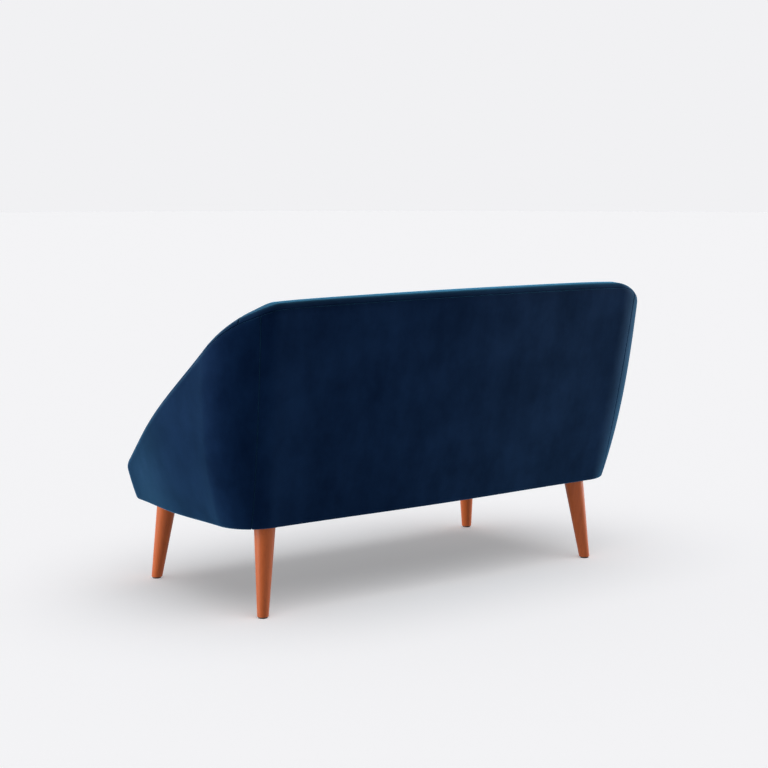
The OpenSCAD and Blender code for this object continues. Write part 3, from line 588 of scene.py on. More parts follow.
def paper_board(name, colour):
    """Grey-brown fibre board with pressed fibres."""
    material, tree, bsdf, place = blank_material(name, Roughness=0.9, Specular_IOR_Level=0.1)
    fibres = total(tree, noise(tree, place, 60.0, 5.0), noise(tree, place, 700.0, 2.0), 0.5, 0.5)
    tree.links.new(between(tree, spread(tree, fibres, 0.35, 0.65), scaled(colour, 0.7), colour),
                   bsdf.inputs["Base Color"])
    raised(tree, bsdf, fibres, 0.0004, 0.4)
    return material


MATERIALS = {}


def finish_of(name, make, *values):
    """Each material is made once and shared."""
    if name not in MATERIALS:
        MATERIALS[name] = make(*values)
    return MATERIALS[name]


# ---- upholstery ----------------------------------------------------------
NEAR_SEAM = np.array([0.0, 0.2, 0.6, 1.2, 2.0, 3.0, 4.5, 7.0]) / 1000  # sample distances beside a seam
PER_STATION = 0.23  # metres along the cover for one station, near the rear seams
FADE = 0.02  # distance over which the fullness beside a seam fades
SEAM_FOLLOW = 0.06  # the top line takes the rear seam's station this far below the back's top
ROLL_MOST, NOSE_ROLL_MOST = 0.85, 0.45  # the most of a section's height that a roll may take
EDGE_MOST = 0.1  # the most of it that the bottom rounding may take
NOSE_TURNED = 0.52  # share of an arm's thickness that is turned under on its nose
TURN_STATIONS = 0.25  # stations over which that narrows to the arm's own turn-under
UNDER_RISE = 0.0015  # rise of the turned-under cloth, and of the flat between the two rolls
FOOT_STATIONS = 0.05  # stations over which an inner cover's lower edge leaves the nose
CROWN_STATIONS = 0.3  # stations over which the crown fades to a cover's ends
CROWN_POWER, CROWN_HEIGHT = 0.8, 0.2
ROOM_HIGH, ROOM_WIDE = 0.2, 0.3  # the most of a nose's height and width that an inset may take
NOSE_LINES, OUTER_LINES, INNER_LINES = 28, 64, 44  # lines along a nose, and up each wall
BACK_STATIONS, SIDE_STATIONS = 190, 110
INNER_BACK_STATIONS, INNER_ARM_STATIONS = 200, 100


def draw_in(sewing, distance):
    """How far a seam draws the cover in at a distance from it: a quarter circle down to the
    seam, after a slight fullness that fades away from it."""
    g = sewing.groove
    near = np.clip(1 - distance / g, 0, 1)
    round_edge = g * (1 - np.sqrt(np.maximum(1 - near ** 2, 0)))
    full = sewing.puff * (1 - np.exp(-distance / g)) * np.exp(-np.maximum(distance - g, 0) / FADE)
    return round_edge - full


def along_grid(points, axis, from_end=False):
    """Distance of each grid point from the grid's first or last line, along one axis."""
    steps = np.linalg.norm(np.diff(points, axis=axis), axis=-1)
    walked = np.concatenate([np.zeros_like(np.take(steps, [0], axis)), np.cumsum(steps, axis)], axis)
    return np.take(walked, [-1], axis) - walked if from_end else walked


def roll_sizes(k, sewing, s, seam_followed):
    """Top, bottom and the roundings of the wall's section at each station, smaller on a nose."""
    at = follow_seam(k, s, k.high - SEAM_FOLLOW) if seam_followed else s
    top, bottom = top_line(k, at), bottom_line(k, s)
    h = np.maximum(top - bottom, 0)
    return SimpleNamespace(top=top, bottom=bottom, outer=np.minimum(k.outer_roll, NOSE_ROLL_MOST * h),
                           edge=np.minimum(sewing.edge_roll, EDGE_MOST * h))


def seam_angle(k):
    """Angle of the long seam on the outer roll."""
    return math.asin((k.outer_roll - k.seam_drop) / k.outer_roll)


def turn_under(k, sewing, s):
    """Width of cover turned under at a station: to the middle of a nose, less along the arm."""
    along, on_nose = np.clip(np.minimum(s, 6 - s) / TURN_STATIONS, 0, 1), NOSE_TURNED * k.arm_thick
    return on_nose + (sewing.turn_under - on_nose) * along


def on_roll(v, n, full, radius, top):
    """Depth and height at angle v of a roll at the top edge, full deep and radius high, moved
    in by n."""
    lift = radius - n * np.minimum(1, radius / full)
    return full - (full - n) * math.cos(v), top - radius + lift * math.sin(v)


def on_edge(v, n, r, bottom):
    """Depth and height at angle v of the rounding at the bottom edge, moved in by n."""
    return r - (r - n) * math.cos(v), bottom + r + (r - n) * math.sin(v)


def outer_rows(k):
    """The lines of an outer cover's section from its turned-under edge to the long seam: each is
    (part of the section, place within it)."""
    under = [("under", v) for v in np.linspace(1, 0, 4)[:-1]]
    edge = [("edge", v) for v in np.linspace(-math.pi / 2, 0, 7)[:-1]]
    wall = [("wall", v) for v in np.linspace(0, 1, OUTER_LINES)]
    near = seam_angle(k) - NEAR_SEAM[::-1] / k.outer_roll
    roll = [("roll", v) for v in np.concatenate([np.linspace(0, near[0], 5)[1:-1], near])]
    return under + edge + wall + roll


def outer_surface(k, sewing, s, inset):
    """Points of an outer cover: for each station, along the section's lines, moved in by inset."""
    s = s[:, None]
    sizes = roll_sizes(k, sewing, s, True)
    columns = []
    for i, (part, v) in enumerate(outer_rows(k)):
        n = inset[:, i:i + 1] if np.ndim(inset) else inset
        r = sizes.edge
        if part == "under":
            depth = r + (turn_under(k, sewing, s) - r) * v
            z = sizes.bottom + n + UNDER_RISE * v * np.minimum(1, r / sewing.edge_roll)
        elif part == "edge":
            depth, z = on_edge(v, n, r, sizes.bottom)
        elif part == "wall":
            start, end = sizes.bottom + r, sizes.top - sizes.outer
            depth, z = n + 0 * r, start + (end - start) * v
        else:
            depth, z = on_roll(v, n, k.outer_roll, sizes.outer, sizes.top)
        columns.append(in_wall(k, follow_seam(k, s, z), z, depth, n, False)[:, 0])
    return np.stack(columns, 1)


def inner_rows(k):
    """The lines of an inner cover's section: from the long seam over the top, round the inner
    roll, down the inside and under."""
    near = seam_angle(k) + NEAR_SEAM / k.outer_roll
    band = [("band", v) for v in np.concatenate([near, np.linspace(near[-1], math.pi / 2, 7)[1:]])]
    flat = [("flat", v) for v in np.linspace(0, 1, 6)[1:-1]]
    roll = [("roll", v) for v in np.linspace(math.pi / 2, 0, 14)]
    wall = [("wall", v) for v in np.linspace(0, 1, INNER_LINES)[1:]]
    edge = [("edge", v) for v in np.linspace(0, -math.pi / 2, 6)[1:]]
    under = [("under", v) for v in np.linspace(0, 1, 4)[1:]]
    return band + flat + roll + wall + edge + under


def inner_bottom(k, s, bottom):
    """Lower edge of the inner cover: the underside on a nose, and just under the deck elsewhere."""
    share = np.clip(np.minimum(s, 6 - s) / FOOT_STATIONS, 0, 1)
    share = share * share * (3 - 2 * share)
    return bottom + (np.maximum(k.inner_low, bottom) - bottom) * share


def inner_surface(k, sewing, s, inset, crown=0.0):
    """Points of an inner cover with its foam: as outer_surface, with a crown on the inside face."""
    s = s[:, None]
    sizes = roll_sizes(k, sewing, s, False)
    foot = inner_bottom(k, s, sizes.bottom)
    most = np.where(nose_share(s) > 0, NOSE_ROLL_MOST, ROLL_MOST)
    inner = np.minimum(k.inner_roll, most * np.maximum(sizes.top - foot, 0))
    small = np.minimum(1, inner / k.inner_roll)
    columns = []
    for i, (part, v) in enumerate(inner_rows(k)):
        n = inset[:, i:i + 1] if np.ndim(inset) else inset
        r, from_inside = sizes.edge, part != "band"
        if part == "band":
            depth, z = on_roll(v, n, k.outer_roll, sizes.outer, sizes.top)
        elif part == "flat":
            z = sizes.top - n * small + UNDER_RISE * small * math.sin(math.pi * v)
        elif part == "roll":
            depth, z = on_roll(v, n, k.inner_roll, inner, sizes.top)
        elif part == "wall":
            start, end = sizes.top - inner, foot + r
            bulge = crown * math.sin(math.pi * v) ** CROWN_POWER * np.clip((start - end) / CROWN_HEIGHT, 0, 1)
            depth, z = n - bulge, start + (end - start) * v
        elif part == "edge":
            depth, z = on_edge(v, n, r, foot)
        else:
            depth, z = r + (turn_under(k, sewing, s) - r) * v, foot + n + 0 * r
        if part == "flat":
            low = in_wall(k, s, z, k.outer_roll + 0 * z, n, False)
            high = in_wall(k, s, z, k.inner_roll + 0 * z, n, True)
            columns.append((low + (high - low) * v)[:, 0])
        else:
            columns.append(in_wall(k, s, z, depth, n, from_inside)[:, 0])
    return np.stack(columns, 1)


def nose_limit(k, s, wanted):
    """An inset held to a share of what is left of the wall near an arm's tip."""
    h = top_line(k, s) - bottom_line(k, s)
    room = np.minimum(h * ROOM_HIGH, k.arm_thick * nose_width(k, s) * ROOM_WIDE)
    return np.minimum(wanted, np.maximum(room, 0)[:, None])


def seam_inset(k, sewing, s, surface, seam_last, ends):
    """How far each point of a cover is drawn in by the long seam, on the first or the last line
    of its section, and by a seam at its first and its last station."""
    plain = surface(k, sewing, s, 0.0)
    inset = draw_in(sewing, along_grid(plain, 1, seam_last))
    for is_seam, from_end in zip(ends, (False, True)):
        if is_seam:
            inset = np.maximum(inset, draw_in(sewing, along_grid(plain, 0, from_end)))
    return nose_limit(k, s, inset)


def stations(k, first, last, count):
    """Stations from first to last, close together beside a seam and evenly turned on a nose."""
    nose, beside = k.nose_end * np.linspace(0, 1, NOSE_LINES)[1:], NEAR_SEAM / PER_STATION
    head, start = (-nose, 0.0) if first < 0 else (first + beside, first + beside[-1])
    tail, end = (6 + nose, 6.0) if last > 6 else (last - beside, last - beside[-1])
    return np.unique(np.round(np.concatenate([head, np.linspace(start, end, count), tail]), 7))


def velvet_piece(name, front, back):
    """A velvet piece of the shell, closed between two grids."""
    return piece(name, closed_sheet(front, back), finish_of("velvet", velvet), SHELL_BODY)


def stretched_cover(name, node_names, first, last, count):
    """An outer cover, a cloth stretched over its board between the seams at two stations."""
    k, sewing = shell(), bpy.context.scene.sofa_sewing
    s = stations(k, first, last, count)
    inset = seam_inset(k, sewing, s, outer_surface, True, (first > 0, last < 6))
    cloth = nose_limit(k, s, np.full(inset.shape, sewing.cloth))
    front, back = outer_surface(k, sewing, s, inset), outer_surface(k, sewing, s, inset + cloth)
    made = velvet_piece(name, front, back)
    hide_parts(*node_names)
    wide = float(along_grid(front, 0)[-1].max())
    tall = float(along_grid(front, 1)[:, -1].max())


def foam_cover(name, node_names, first, last, count):
    """An inner cover with its foam, closed at the back, between two stations."""
    k, sewing = shell(), bpy.context.scene.sofa_sewing
    s = stations(k, first, last, count)
    inset = seam_inset(k, sewing, s, inner_surface, False, (first > 0, last < 6))
    foam = nose_limit(k, s, np.full(inset.shape, sewing.foam))
    fade = np.clip((s - first) / CROWN_STATIONS, 0, 1) * np.clip((last - s) / CROWN_STATIONS, 0, 1)
    front = inner_surface(k, sewing, s, inset, sewing.crown * fade[:, None])
    back = inner_surface(k, sewing, s, np.maximum(inset, 0) + foam)
    made = velvet_piece(name, front, back)
    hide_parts(*node_names)


class SOFA_OT_outer_covers(Operator):
    """Make the three outer covers: the back and the two sides with their noses"""

    bl_idname = "sofa.outer_covers"
    bl_label = "Outer Covers"

    def execute(self, context):
        k = shell()
        stretched_cover("outer_back", ["outer_back_cover"], SEAM, 6 - SEAM, BACK_STATIONS)
        for side, first, last in (("left", -k.nose_end, SEAM), ("right", 6 - SEAM, 6 + k.nose_end)):
            stretched_cover(f"outer_side_{side}", [f"outer_side_cover_{side}"], first, last, SIDE_STATIONS)
        return {"FINISHED"}


INNER_SEAM = 1.5  # the inside covers meet at the middle of each rear corner


class SOFA_OT_inner_covers(Operator):
    """Make the padded inside of the shell: the back and the two arms, with the rolled top edge"""

    bl_idname = "sofa.inner_covers"
    bl_label = "Inner Covers"

    def execute(self, context):
        k = shell()
        foam_cover("inner_back", ["inner_back_cover", "back_pad"], INNER_SEAM, 6 - INNER_SEAM,
                   INNER_BACK_STATIONS)
        for side, first, last in (("left", -k.nose_end, INNER_SEAM), ("right", 6 - INNER_SEAM, 6 + k.nose_end)):
            nodes = [f"{n}_{side}" for n in ("inner_arm_cover", "arm_pad", "nose_pad", "corner_pad")]
            foam_cover(f"inner_arm_{side}", nodes, first, last, INNER_ARM_STATIONS)
        return {"FINISHED"}


# ---- front border, deck and dust cloth -----------------------------------
BORDER_CORNER = 0.018  # the border's plan radius where it turns back beside each arm
BORDER_FOAM = 0.005
BORDER_RETURN = 0.110  # how far it runs back beside each arm, from the noses' ends
BORDER_TOP = 0.012  # rounding of its top edge
BORDER_UNDER, BORDER_OVER = 0.024, 0.016  # how far it runs on under the rail and on the deck
BORDER_BOW = 0.0015
BORDER_BELOW = 0.001  # its top is this much below the deck
BORDER_EASE, BORDER_LEFT = 0.010, 0.002  # room that a corner gives its section, and keeps
DECK_FRONT = 0.014  # the border's face to the deck's front edge
DECK_DROP, DECK_FADE = 0.004, 0.02  # the deck's edges are lower than its middle
DUST = SimpleNamespace(gap=0.004, step=0.008, blend=0.002, lift=0.0004, sag=0.003, thick=0.0006)
WEBBING_THICK, WEBBING_BOW = 0.0018, 0.0015
WEBBING_ACROSS, WEBBING_ALONG = 8, 40
RAIL_END = 0.005  # the bands' ends are flat on the rails for this far


def border_section(k, sewing):
    """Outline of the front border's section, depth and height, from under the rail up the front,
    over a round edge and back on to the deck."""
    r_low, r_high = sewing.edge_roll, BORDER_TOP
    low, high = k.low, k.deck - BORDER_BELOW
    under = [(BORDER_UNDER + (r_low - BORDER_UNDER) * v, low) for v in np.linspace(0, 1, 4)]
    edge = [(r_low - r_low * math.sin(a), low + r_low - r_low * math.cos(a))
            for a in np.linspace(0, math.pi / 2, 6)[1:]]
    face = [(-BORDER_BOW * math.sin(math.pi * v), low + r_low + (high - r_high - low - r_low) * v)
            for v in np.linspace(0, 1, 18)[1:-1]]
    roll = [(r_high - r_high * math.cos(a), high - r_high + r_high * math.sin(a))
            for a in np.linspace(0, math.pi / 2, 9)]
    over = [(r_high + BORDER_OVER * v, high) for v in np.linspace(0, 1, 4)[1:]]
    return np.array(under + edge + face + roll + over)


def border_path(half, front, rear, radius):
    """Plan of the border with its outward directions: forward beside one arm, a quarter circle,
    straight across, a quarter circle and back beside the other arm."""
    turn = np.linspace(0, math.pi / 2, 14)
    y = np.linspace(rear, front + radius, 10)[:-1]
    corner = np.stack([half - radius + radius * np.cos(turn), front + radius - radius * np.sin(turn)], 1)
    right = np.concatenate([np.stack([np.full_like(y, half), y], 1), corner])
    facing = np.concatenate([np.tile([1.0, 0.0], (len(y), 1)), np.stack([np.cos(turn), -np.sin(turn)], 1)])
    x = np.linspace(half - radius, radius - half, 90)[1:-1]
    across = np.stack([x, np.full_like(x, front)], 1)
    flip = np.array([-1.0, 1.0])
    return (np.concatenate([right, across, right[::-1] * flip]),
            np.concatenate([facing, np.tile([0.0, -1.0], (len(x), 1)), facing[::-1] * flip]))


def front_border():
    """The padded border carried across between the arms and turned back beside each of them."""
    k, sewing = shell(), bpy.context.scene.sofa_sewing
    half = -lowest("front_border_cover").x
    path, facing = border_path(half, -k.border, k.nose_back + BORDER_RETURN, BORDER_CORNER)
    section = border_section(k, sewing)
    normal = np.gradient(section, axis=0)
    normal = np.stack([-normal[:, 1], normal[:, 0]], 1) / np.linalg.norm(normal, axis=1, keepdims=True)
    room = np.clip(half - BORDER_CORNER - np.abs(path[:, 0]), 0, BORDER_EASE)
    room += BORDER_CORNER - BORDER_FOAM - BORDER_LEFT
    grids = []
    for inward in (0.0, BORDER_FOAM):
        line = section - normal * inward
        depth = np.minimum(line[None, :, 0], room[:, None] + inward)
        plan = path[:, None] - facing[:, None] * depth[:, :, None]
        height = np.broadcast_to(line[None, :, 1:], plan.shape[:2] + (1,))
        grids.append(np.concatenate([plan, height], -1))
    made = velvet_piece("front_border", *grids)
    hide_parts("front_border_cover", "border_pad")


def rounded_plan(half, front, rear, front_radius, rear_radius, across, along):
    """A grid over a plan with rounded corners: rows from front to rear, each as wide as the plan
    is there, spread as a sine so that they are close together at the sides. Returned as the
    points' two coordinates and the rows' half widths."""
    turn = np.linspace(0, math.pi / 2, 24)
    straight = np.linspace(front + front_radius, rear - rear_radius, along)
    y = [straight, rear - rear_radius + rear_radius * np.sin(turn[1:])]
    w = [np.full(along, half), half - rear_radius + rear_radius * np.cos(turn[1:])]
    if front_radius:
        y.insert(0, front + front_radius - front_radius * np.sin(turn[:0:-1]))
        w.insert(0, half - front_radius + front_radius * np.cos(turn[:0:-1]))
    y, w = np.concatenate(y), np.concatenate(w)
    u = np.sin(np.linspace(-math.pi / 2, math.pi / 2, across))
    return u[None, :] * w[:, None], np.broadcast_to(y[:, None], (len(y), across)), w


def seat_deck():
    """The sprung deck under the cushion: cloth over foam, gently crowned."""
    k = shell()
    high, front = highest("deck_cloth"), -k.border + DECK_FRONT
    x, y, _ = rounded_plan(high.x, front, high.y, BORDER_CORNER, k.inner_corner, 90, 40)
    edge = np.minimum(np.minimum(high.x - np.abs(x), y - front), high.y - y)
    top = grid(x, y, high.z - DECK_DROP * np.exp(-np.maximum(edge, 0) / DECK_FADE))
    under = grid(x, y, lowest("deck_foam").z)
    made = velvet_piece("seat_deck", top, under)
    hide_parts("deck_cloth", "deck_foam", "deck_felt")


def deck_lining():
    return plain_cloth("lining", tuple(bpy.context.scene.sofa_colours.lining), 420.0)


def dust_cloth():
    """The black cloth stapled under the frame, sagging slightly between the rails."""
    k = shell()
    low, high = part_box("dust_cloth")
    x, y, w = rounded_plan(high.x, low.y, high.y, 0, k.corner - DUST.gap, 70, 60)
    w, narrow = w[:, None], k.inner_half - DUST.gap
    share = np.clip((y - k.nose_back + DUST.step) / DUST.blend + 0.5, 0, 1)
    scale = (narrow + (np.maximum(w, narrow) - narrow) * share) / w
    x = x * np.minimum(scale, 1.0)
    middle = np.clip(1 - (x / high.x) ** 2, 0, 1) * np.clip(
        (y - low.y) * (high.y - y) / ((high.y - low.y) / 2) ** 2, 0, 1)
    z = low.z + DUST.lift - DUST.sag * middle
    made = piece("dust_cloth_sheet", closed_sheet(grid(x, y, z + DUST.thick), grid(x, y, z)),
                 finish_of("lining", deck_lining), SHELL_BODY)
    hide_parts("dust_cloth")


def back_webbing():
    """The upright bands behind the back's foam: each a thin ribbon between two grids, bowed
    forwards by a half sine between the rails it is tacked to."""
    low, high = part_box("back_webbing")
    points = vectors(frame["nodes"]["back_webbing"].data)
    bands = np.unique(np.round(points[:, 0], 4)).reshape(-1, 2)
    foot = points[points[:, 2] < low.z + RAIL_END, 1].mean()
    head = points[points[:, 2] > high.z - RAIL_END, 1].mean()
    up = np.linspace(0, 1, WEBBING_ALONG)[None, :]
    y = foot + (head - foot) * up - WEBBING_BOW * np.sin(math.pi * up) - WEBBING_THICK / 2
    shapes = []
    for left, right in bands:
        front = grid(np.linspace(left, right, WEBBING_ACROSS)[:, None], y, low.z + (high.z - low.z) * up)
        shapes.append(closed_sheet(front, front + np.array([0.0, WEBBING_THICK, 0.0])))
    points = np.concatenate([shape[0] for shape in shapes])
    faces = np.concatenate([shape[1] + i * len(shape[0]) for i, shape in enumerate(shapes)])
    made = piece("back_webbing_bands", (points, faces), finish_of("webbing", webbing_cloth), SHELL_BODY)
    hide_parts("back_webbing")


def webbing_cloth():
    return plain_cloth("webbing", (0.10, 0.085, 0.06), 260.0)


class SOFA_OT_seat_base(Operator):
    """Make the front border, the deck under the cushion, the back's webbing and the dust cloth"""

    bl_idname = "sofa.seat_base"
    bl_label = "Border, Deck and Dust Cloth"

    def execute(self, context):
        front_border()
        seat_deck()
        back_webbing()
        dust_cloth()
        return {"FINISHED"}


# ---- loose cushion -------------------------------------------------------
CUSHION_EASE = 0.010  # the cushion starts this much inside its box, and swells into it
CUSHION_VOXEL = 0.008
CUSHION_CORNER, CUSHION_FRONT_CORNER = 0.055, 0.030
CUSHION_TOP_EASE = 0.016
BOX_SLACK = SimpleNamespace(side=0.003, rear=0.003, front=0.009, top=0.009)
CLOTH_QUALITY, SOFTEST = 5, 0.004  # the cloth's steps in a frame, and the ease into a limit
PIPED = SimpleNamespace(slant=0.9, reach=0.06, count=420, softer=6, depth=0.0030, width=0.007, bedded=0.3)
TAPE = SimpleNamespace(off=0.0006, half=0.010, lip=0.0014, lip_at=0.003, lip_width=0.0012, thick=0.0012)
TEETH = SimpleNamespace(half=0.0016, pitch=0.0026, ridge=0.0005, proud=0.0004, bedded=0.0002)
PULL = SimpleNamespace(from_end=0.020, half=0.011, tall=0.0045, below=0.002, dome=0.0010, front=0.0016, back=0.0012)


def cushion_blank(low, high):
    """A flat-sided block with rounded corners, between two grids over its plan."""
    e = CUSHION_EASE
    x, y, _ = rounded_plan(high.x - e, low.y + e, high.y - e, CUSHION_FRONT_CORNER, CUSHION_CORNER, 120, 50)
    return closed_sheet(grid(x, y, high.z - CUSHION_TOP_EASE), grid(x, y, low.z))


def evaluated_copy(made):
    graph = bpy.context.evaluated_depsgraph_get()
    graph.update()
    return bpy.data.meshes.new_from_object(made.evaluated_get(graph))


def place_vertices(mesh, points):
    mesh.vertices.foreach_set("co", np.asarray(points, float).ravel())
    mesh.update()


def settle(made, pressure, steps):
    """Blows the piece up as cloth without gravity, and returns where its vertices came to."""
    scene = bpy.context.scene
    cloth = made.modifiers.new("filling", "CLOTH")
    cloth.settings.use_pressure = True
    cloth.settings.uniform_pressure_force = pressure
    cloth.settings.effector_weights.gravity = 0.0
    cloth.settings.quality = CLOTH_QUALITY
    cloth.point_cache.frame_start, cloth.point_cache.frame_end = 1, steps
    scene.frame_start, scene.frame_end = 1, steps
    for f in range(1, steps + 1):
        scene.frame_set(f)
    mesh = evaluated_copy(made)
    moved = vectors(mesh)
    made.modifiers.remove(cloth)
    bpy.data.meshes.remove(mesh)
    scene.frame_set(1)
    return moved


def soft_limit(value, limit):
    """Values held under a limit, easing into it by a hyperbolic tangent."""
    start = limit - SOFTEST
    over = np.clip((value - start) / SOFTEST, 0, None)
    return np.where(value > start, start + SOFTEST * np.tanh(over), value)


def fill_out(plan, low, high):
    """Points stretched in plan, so that they just reach the sides of a box."""
    first, last = plan.min(0), plan.max(0)
    return np.array(low) + (plan - first) / (last - first) * (np.array(high) - np.array(low))


def loop_path(low, high, inset, z, corner, count):
    """Points round a rounded rectangle, at even distances, and the outward direction at each."""
    cx, y0, y1 = high.x - inset - corner, low.y + inset + corner, high.y - inset - corner
    turn = np.linspace(0, math.pi / 2, 40)
    arcs = [np.stack([sx + corner * np.cos(turn + a), sy + corner * np.sin(turn + a)], -1)
            for sx, sy, a in ((cx, y1, 0), (-cx, y1, math.pi / 2), (-cx, y0, math.pi), (cx, y0, 1.5 * math.pi))]
    line = np.concatenate(arcs + [arcs[0][:1]])
    walked = np.concatenate([[0], np.cumsum(np.linalg.norm(np.diff(line, axis=0), axis=1))])
    at = np.linspace(0, walked[-1], count + 1)[:-1]
    flat = np.stack([np.interp(at, walked, line[:, 0]), np.interp(at, walked, line[:, 1])], -1)
    ahead = np.roll(flat, -1, 0) - np.roll(flat, 1, 0)
    out = np.stack([ahead[:, 1], -ahead[:, 0]], -1) / np.linalg.norm(ahead, axis=1, keepdims=True)
    return np.column_stack([flat, np.full(count, z)]), np.column_stack([out, np.zeros(count)])


def seam_on(tree, low, high, rising):
    """The seam round the cushion's top or bottom edge: where slanting lines from outside first
    meet its surface."""
    z = high.z - CUSHION_TOP_EASE if rising > 0 else low.z
    path, out = loop_path(low, high, CUSHION_EASE, z, CUSHION_CORNER, PIPED.count)
    slant = out + np.array([0, 0, rising * PIPED.slant])
    slant /= np.linalg.norm(slant, axis=1, keepdims=True)
    found = [tree.ray_cast(Vector(p + d * PIPED.reach), Vector(-d), 2 * PIPED.reach)[0]
             for p, d in zip(path, slant)]
    hits = np.array([list(h) if h is not None else list(p) for h, p in zip(found, path)])
    for _ in range(PIPED.softer):
        hits = (np.roll(hits, 1, 0) + 2 * hits + np.roll(hits, -1, 0)) / 4
    return hits, slant


def nearest_distance(points, path):
    """Distance from each point to the nearest point of a path, in blocks."""
    return np.concatenate([
        np.sqrt(((block[:, None] - path[None]) ** 2).sum(-1).min(1)) for block in np.array_split(points, 40)])


def held_in_box(points, low, high):
    """Points that just fill the cushion's box in plan, and swell past it only by its slack."""
    points[:, :2] = fill_out(points[:, :2], (-high.x, low.y), (high.x, high.y))
    points[:, 0] = np.sign(points[:, 0]) * soft_limit(np.abs(points[:, 0]), high.x + BOX_SLACK.side)
    points[:, 1] = soft_limit(points[:, 1], high.y + BOX_SLACK.rear)
    points[:, 1] = -soft_limit(-points[:, 1], -low.y + BOX_SLACK.front)
    points[:, 2] = np.maximum(soft_limit(points[:, 2], high.z + BOX_SLACK.top), low.z)
    return points


def even_block(low, high, fabric):
    """The cushion's piece, as a block with an even mesh that can settle as cloth."""
    made = piece("seat_cushion", cushion_blank(low, high), fabric, CUSHION_BODY)
    made.parent = None
    remesh = made.modifiers.new("even", "REMESH")
    remesh.mode, remesh.voxel_size = "VOXEL", CUSHION_VOXEL
    even = evaluated_copy(made)
    made.modifiers.remove(remesh)
    made.data = even
    even.materials.clear()
    even.materials.append(fabric)
    return made, even


def seat_cushion():
    """The bench cushion: a block settled as cloth under pressure, kept flat below and clear of
    the arms, and drawn in along its two piped seams."""
    sewing = bpy.context.scene.sofa_sewing
    low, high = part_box("cushion_cover")
    fabric = finish_of("velvet", velvet)
    made, even = even_block(low, high, fabric)
    rest = vectors(even)
    moved = settle(made, sewing.cushion_pressure, sewing.cushion_steps)
    step = moved - rest
    far, swell = np.linalg.norm(step, axis=1, keepdims=True), sewing.cushion_swell
    moved = held_in_box(rest + step * (swell * np.tanh(far / swell) / np.maximum(far, 1e-9)), low, high)
    place_vertices(even, moved)
    tree = BVHTree.FromPolygons(moved.tolist(), [list(f.vertices) for f in even.polygons])
    seams = [seam_on(tree, low, high, rising) for rising in (1, -1)]
    near = np.minimum(*[nearest_distance(moved, hits) for hits, _ in seams])
    moved = moved - vectors(even, "normal") * (PIPED.depth * np.exp(-(near / PIPED.width) ** 2))[:, None]
    moved[:, 2] = np.maximum(moved[:, 2], low.z)
    place_vertices(even, moved)
    even.polygons.foreach_set("use_smooth", np.full(len(even.polygons), True))
    smooth = made.modifiers.new("smooth", "SUBSURF")
    smooth.levels = smooth.render_levels = 1
    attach(made, CUSHION_BODY)
    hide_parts("cushion_cover", "cushion_core")
    for name, (hits, slant) in zip(("cushion_piping_top", "cushion_piping_bottom"), seams):
        path = hits + slant * sewing.piping * PIPED.bedded
        path[:, 2] = np.maximum(path[:, 2], low.z + sewing.piping)
        piece(name, closed_tube(path, sewing.piping), fabric, CUSHION_BODY)


def strip(half, tall, across, up):
    """A flat grid over a strip of the cushion's rear: its two coordinates."""
    return np.meshgrid(np.linspace(-half, half, across), np.linspace(-tall, tall, up), indexing="ij")


def cushion_zip():
    """The zip across the cushion's rear: two tapes with a row of interlocked teeth, and its pull."""
    low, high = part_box("cushion_zip")
    half, z0, y = high.x, (low.z + high.z) / 2, highest("cushion_cover").y + BOX_SLACK.rear + TAPE.off
    x, z = strip(half, TAPE.half, 400, 12)
    lip = TAPE.lip * np.exp(-((np.abs(z) - TAPE.lip_at) / TAPE.lip_width) ** 2)
    shape = closed_sheet(grid(x, y + lip, z0 + z), grid(x, y - TAPE.thick, z0 + z))
    tape = finish_of("zip_tape", plain_cloth, "zip_tape", (0.010, 0.018, 0.034), 900.0)
    made = piece("cushion_zip_tape", shape, tape, CUSHION_BODY)
    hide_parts("cushion_zip")
    x, z = strip(half, TEETH.half, 1600, 6)
    ridge = TEETH.ridge * (1 + np.sin(x * 2 * math.pi / TEETH.pitch))
    shape = closed_sheet(grid(x, y + TEETH.proud + ridge, z0 + z), grid(x, y - TEETH.bedded, z0 + z))
    brass = finish_of("zip_brass", metal, "zip_brass", (0.50, 0.36, 0.16), 0.35, 80.0)
    piece("cushion_zip_teeth", shape, brass, CUSHION_BODY)
    u, v = strip(1, 1, 20, 20)
    square = np.maximum(np.abs(u), np.abs(v)) / np.maximum(np.hypot(u, v), 1e-9)
    x, z = half - PULL.from_end + PULL.half * u * square, z0 - PULL.below + PULL.tall * v * square
    dome = PULL.dome * np.sqrt(np.maximum(1 - (u * square) ** 2 - (v * square) ** 2, 0))
    shape = closed_sheet(grid(x, y + PULL.front + dome, z), grid(x, y + PULL.back, z))
    piece("cushion_zip_pull", shape, brass, CUSHION_BODY)


class SOFA_OT_cushion(Operator):
    """Make the loose seat cushion with its piping and its zip"""

    bl_idname = "sofa.cushion"
    bl_label = "Seat Cushion"

    def execute(self, context):
        seat_cushion()
        cushion_zip()
        return {"FINISHED"}


# ---- stage ---------------------------------------------------------------
class SOFA_OT_stage(Operator):
    """Make the floor, the backdrop, the lights and the camera"""

    bl_idname = "sofa.stage"
    bl_label = "Studio Stage"

    def execute(self, context):
        studio()
        camera()
        return {"FINISHED"}


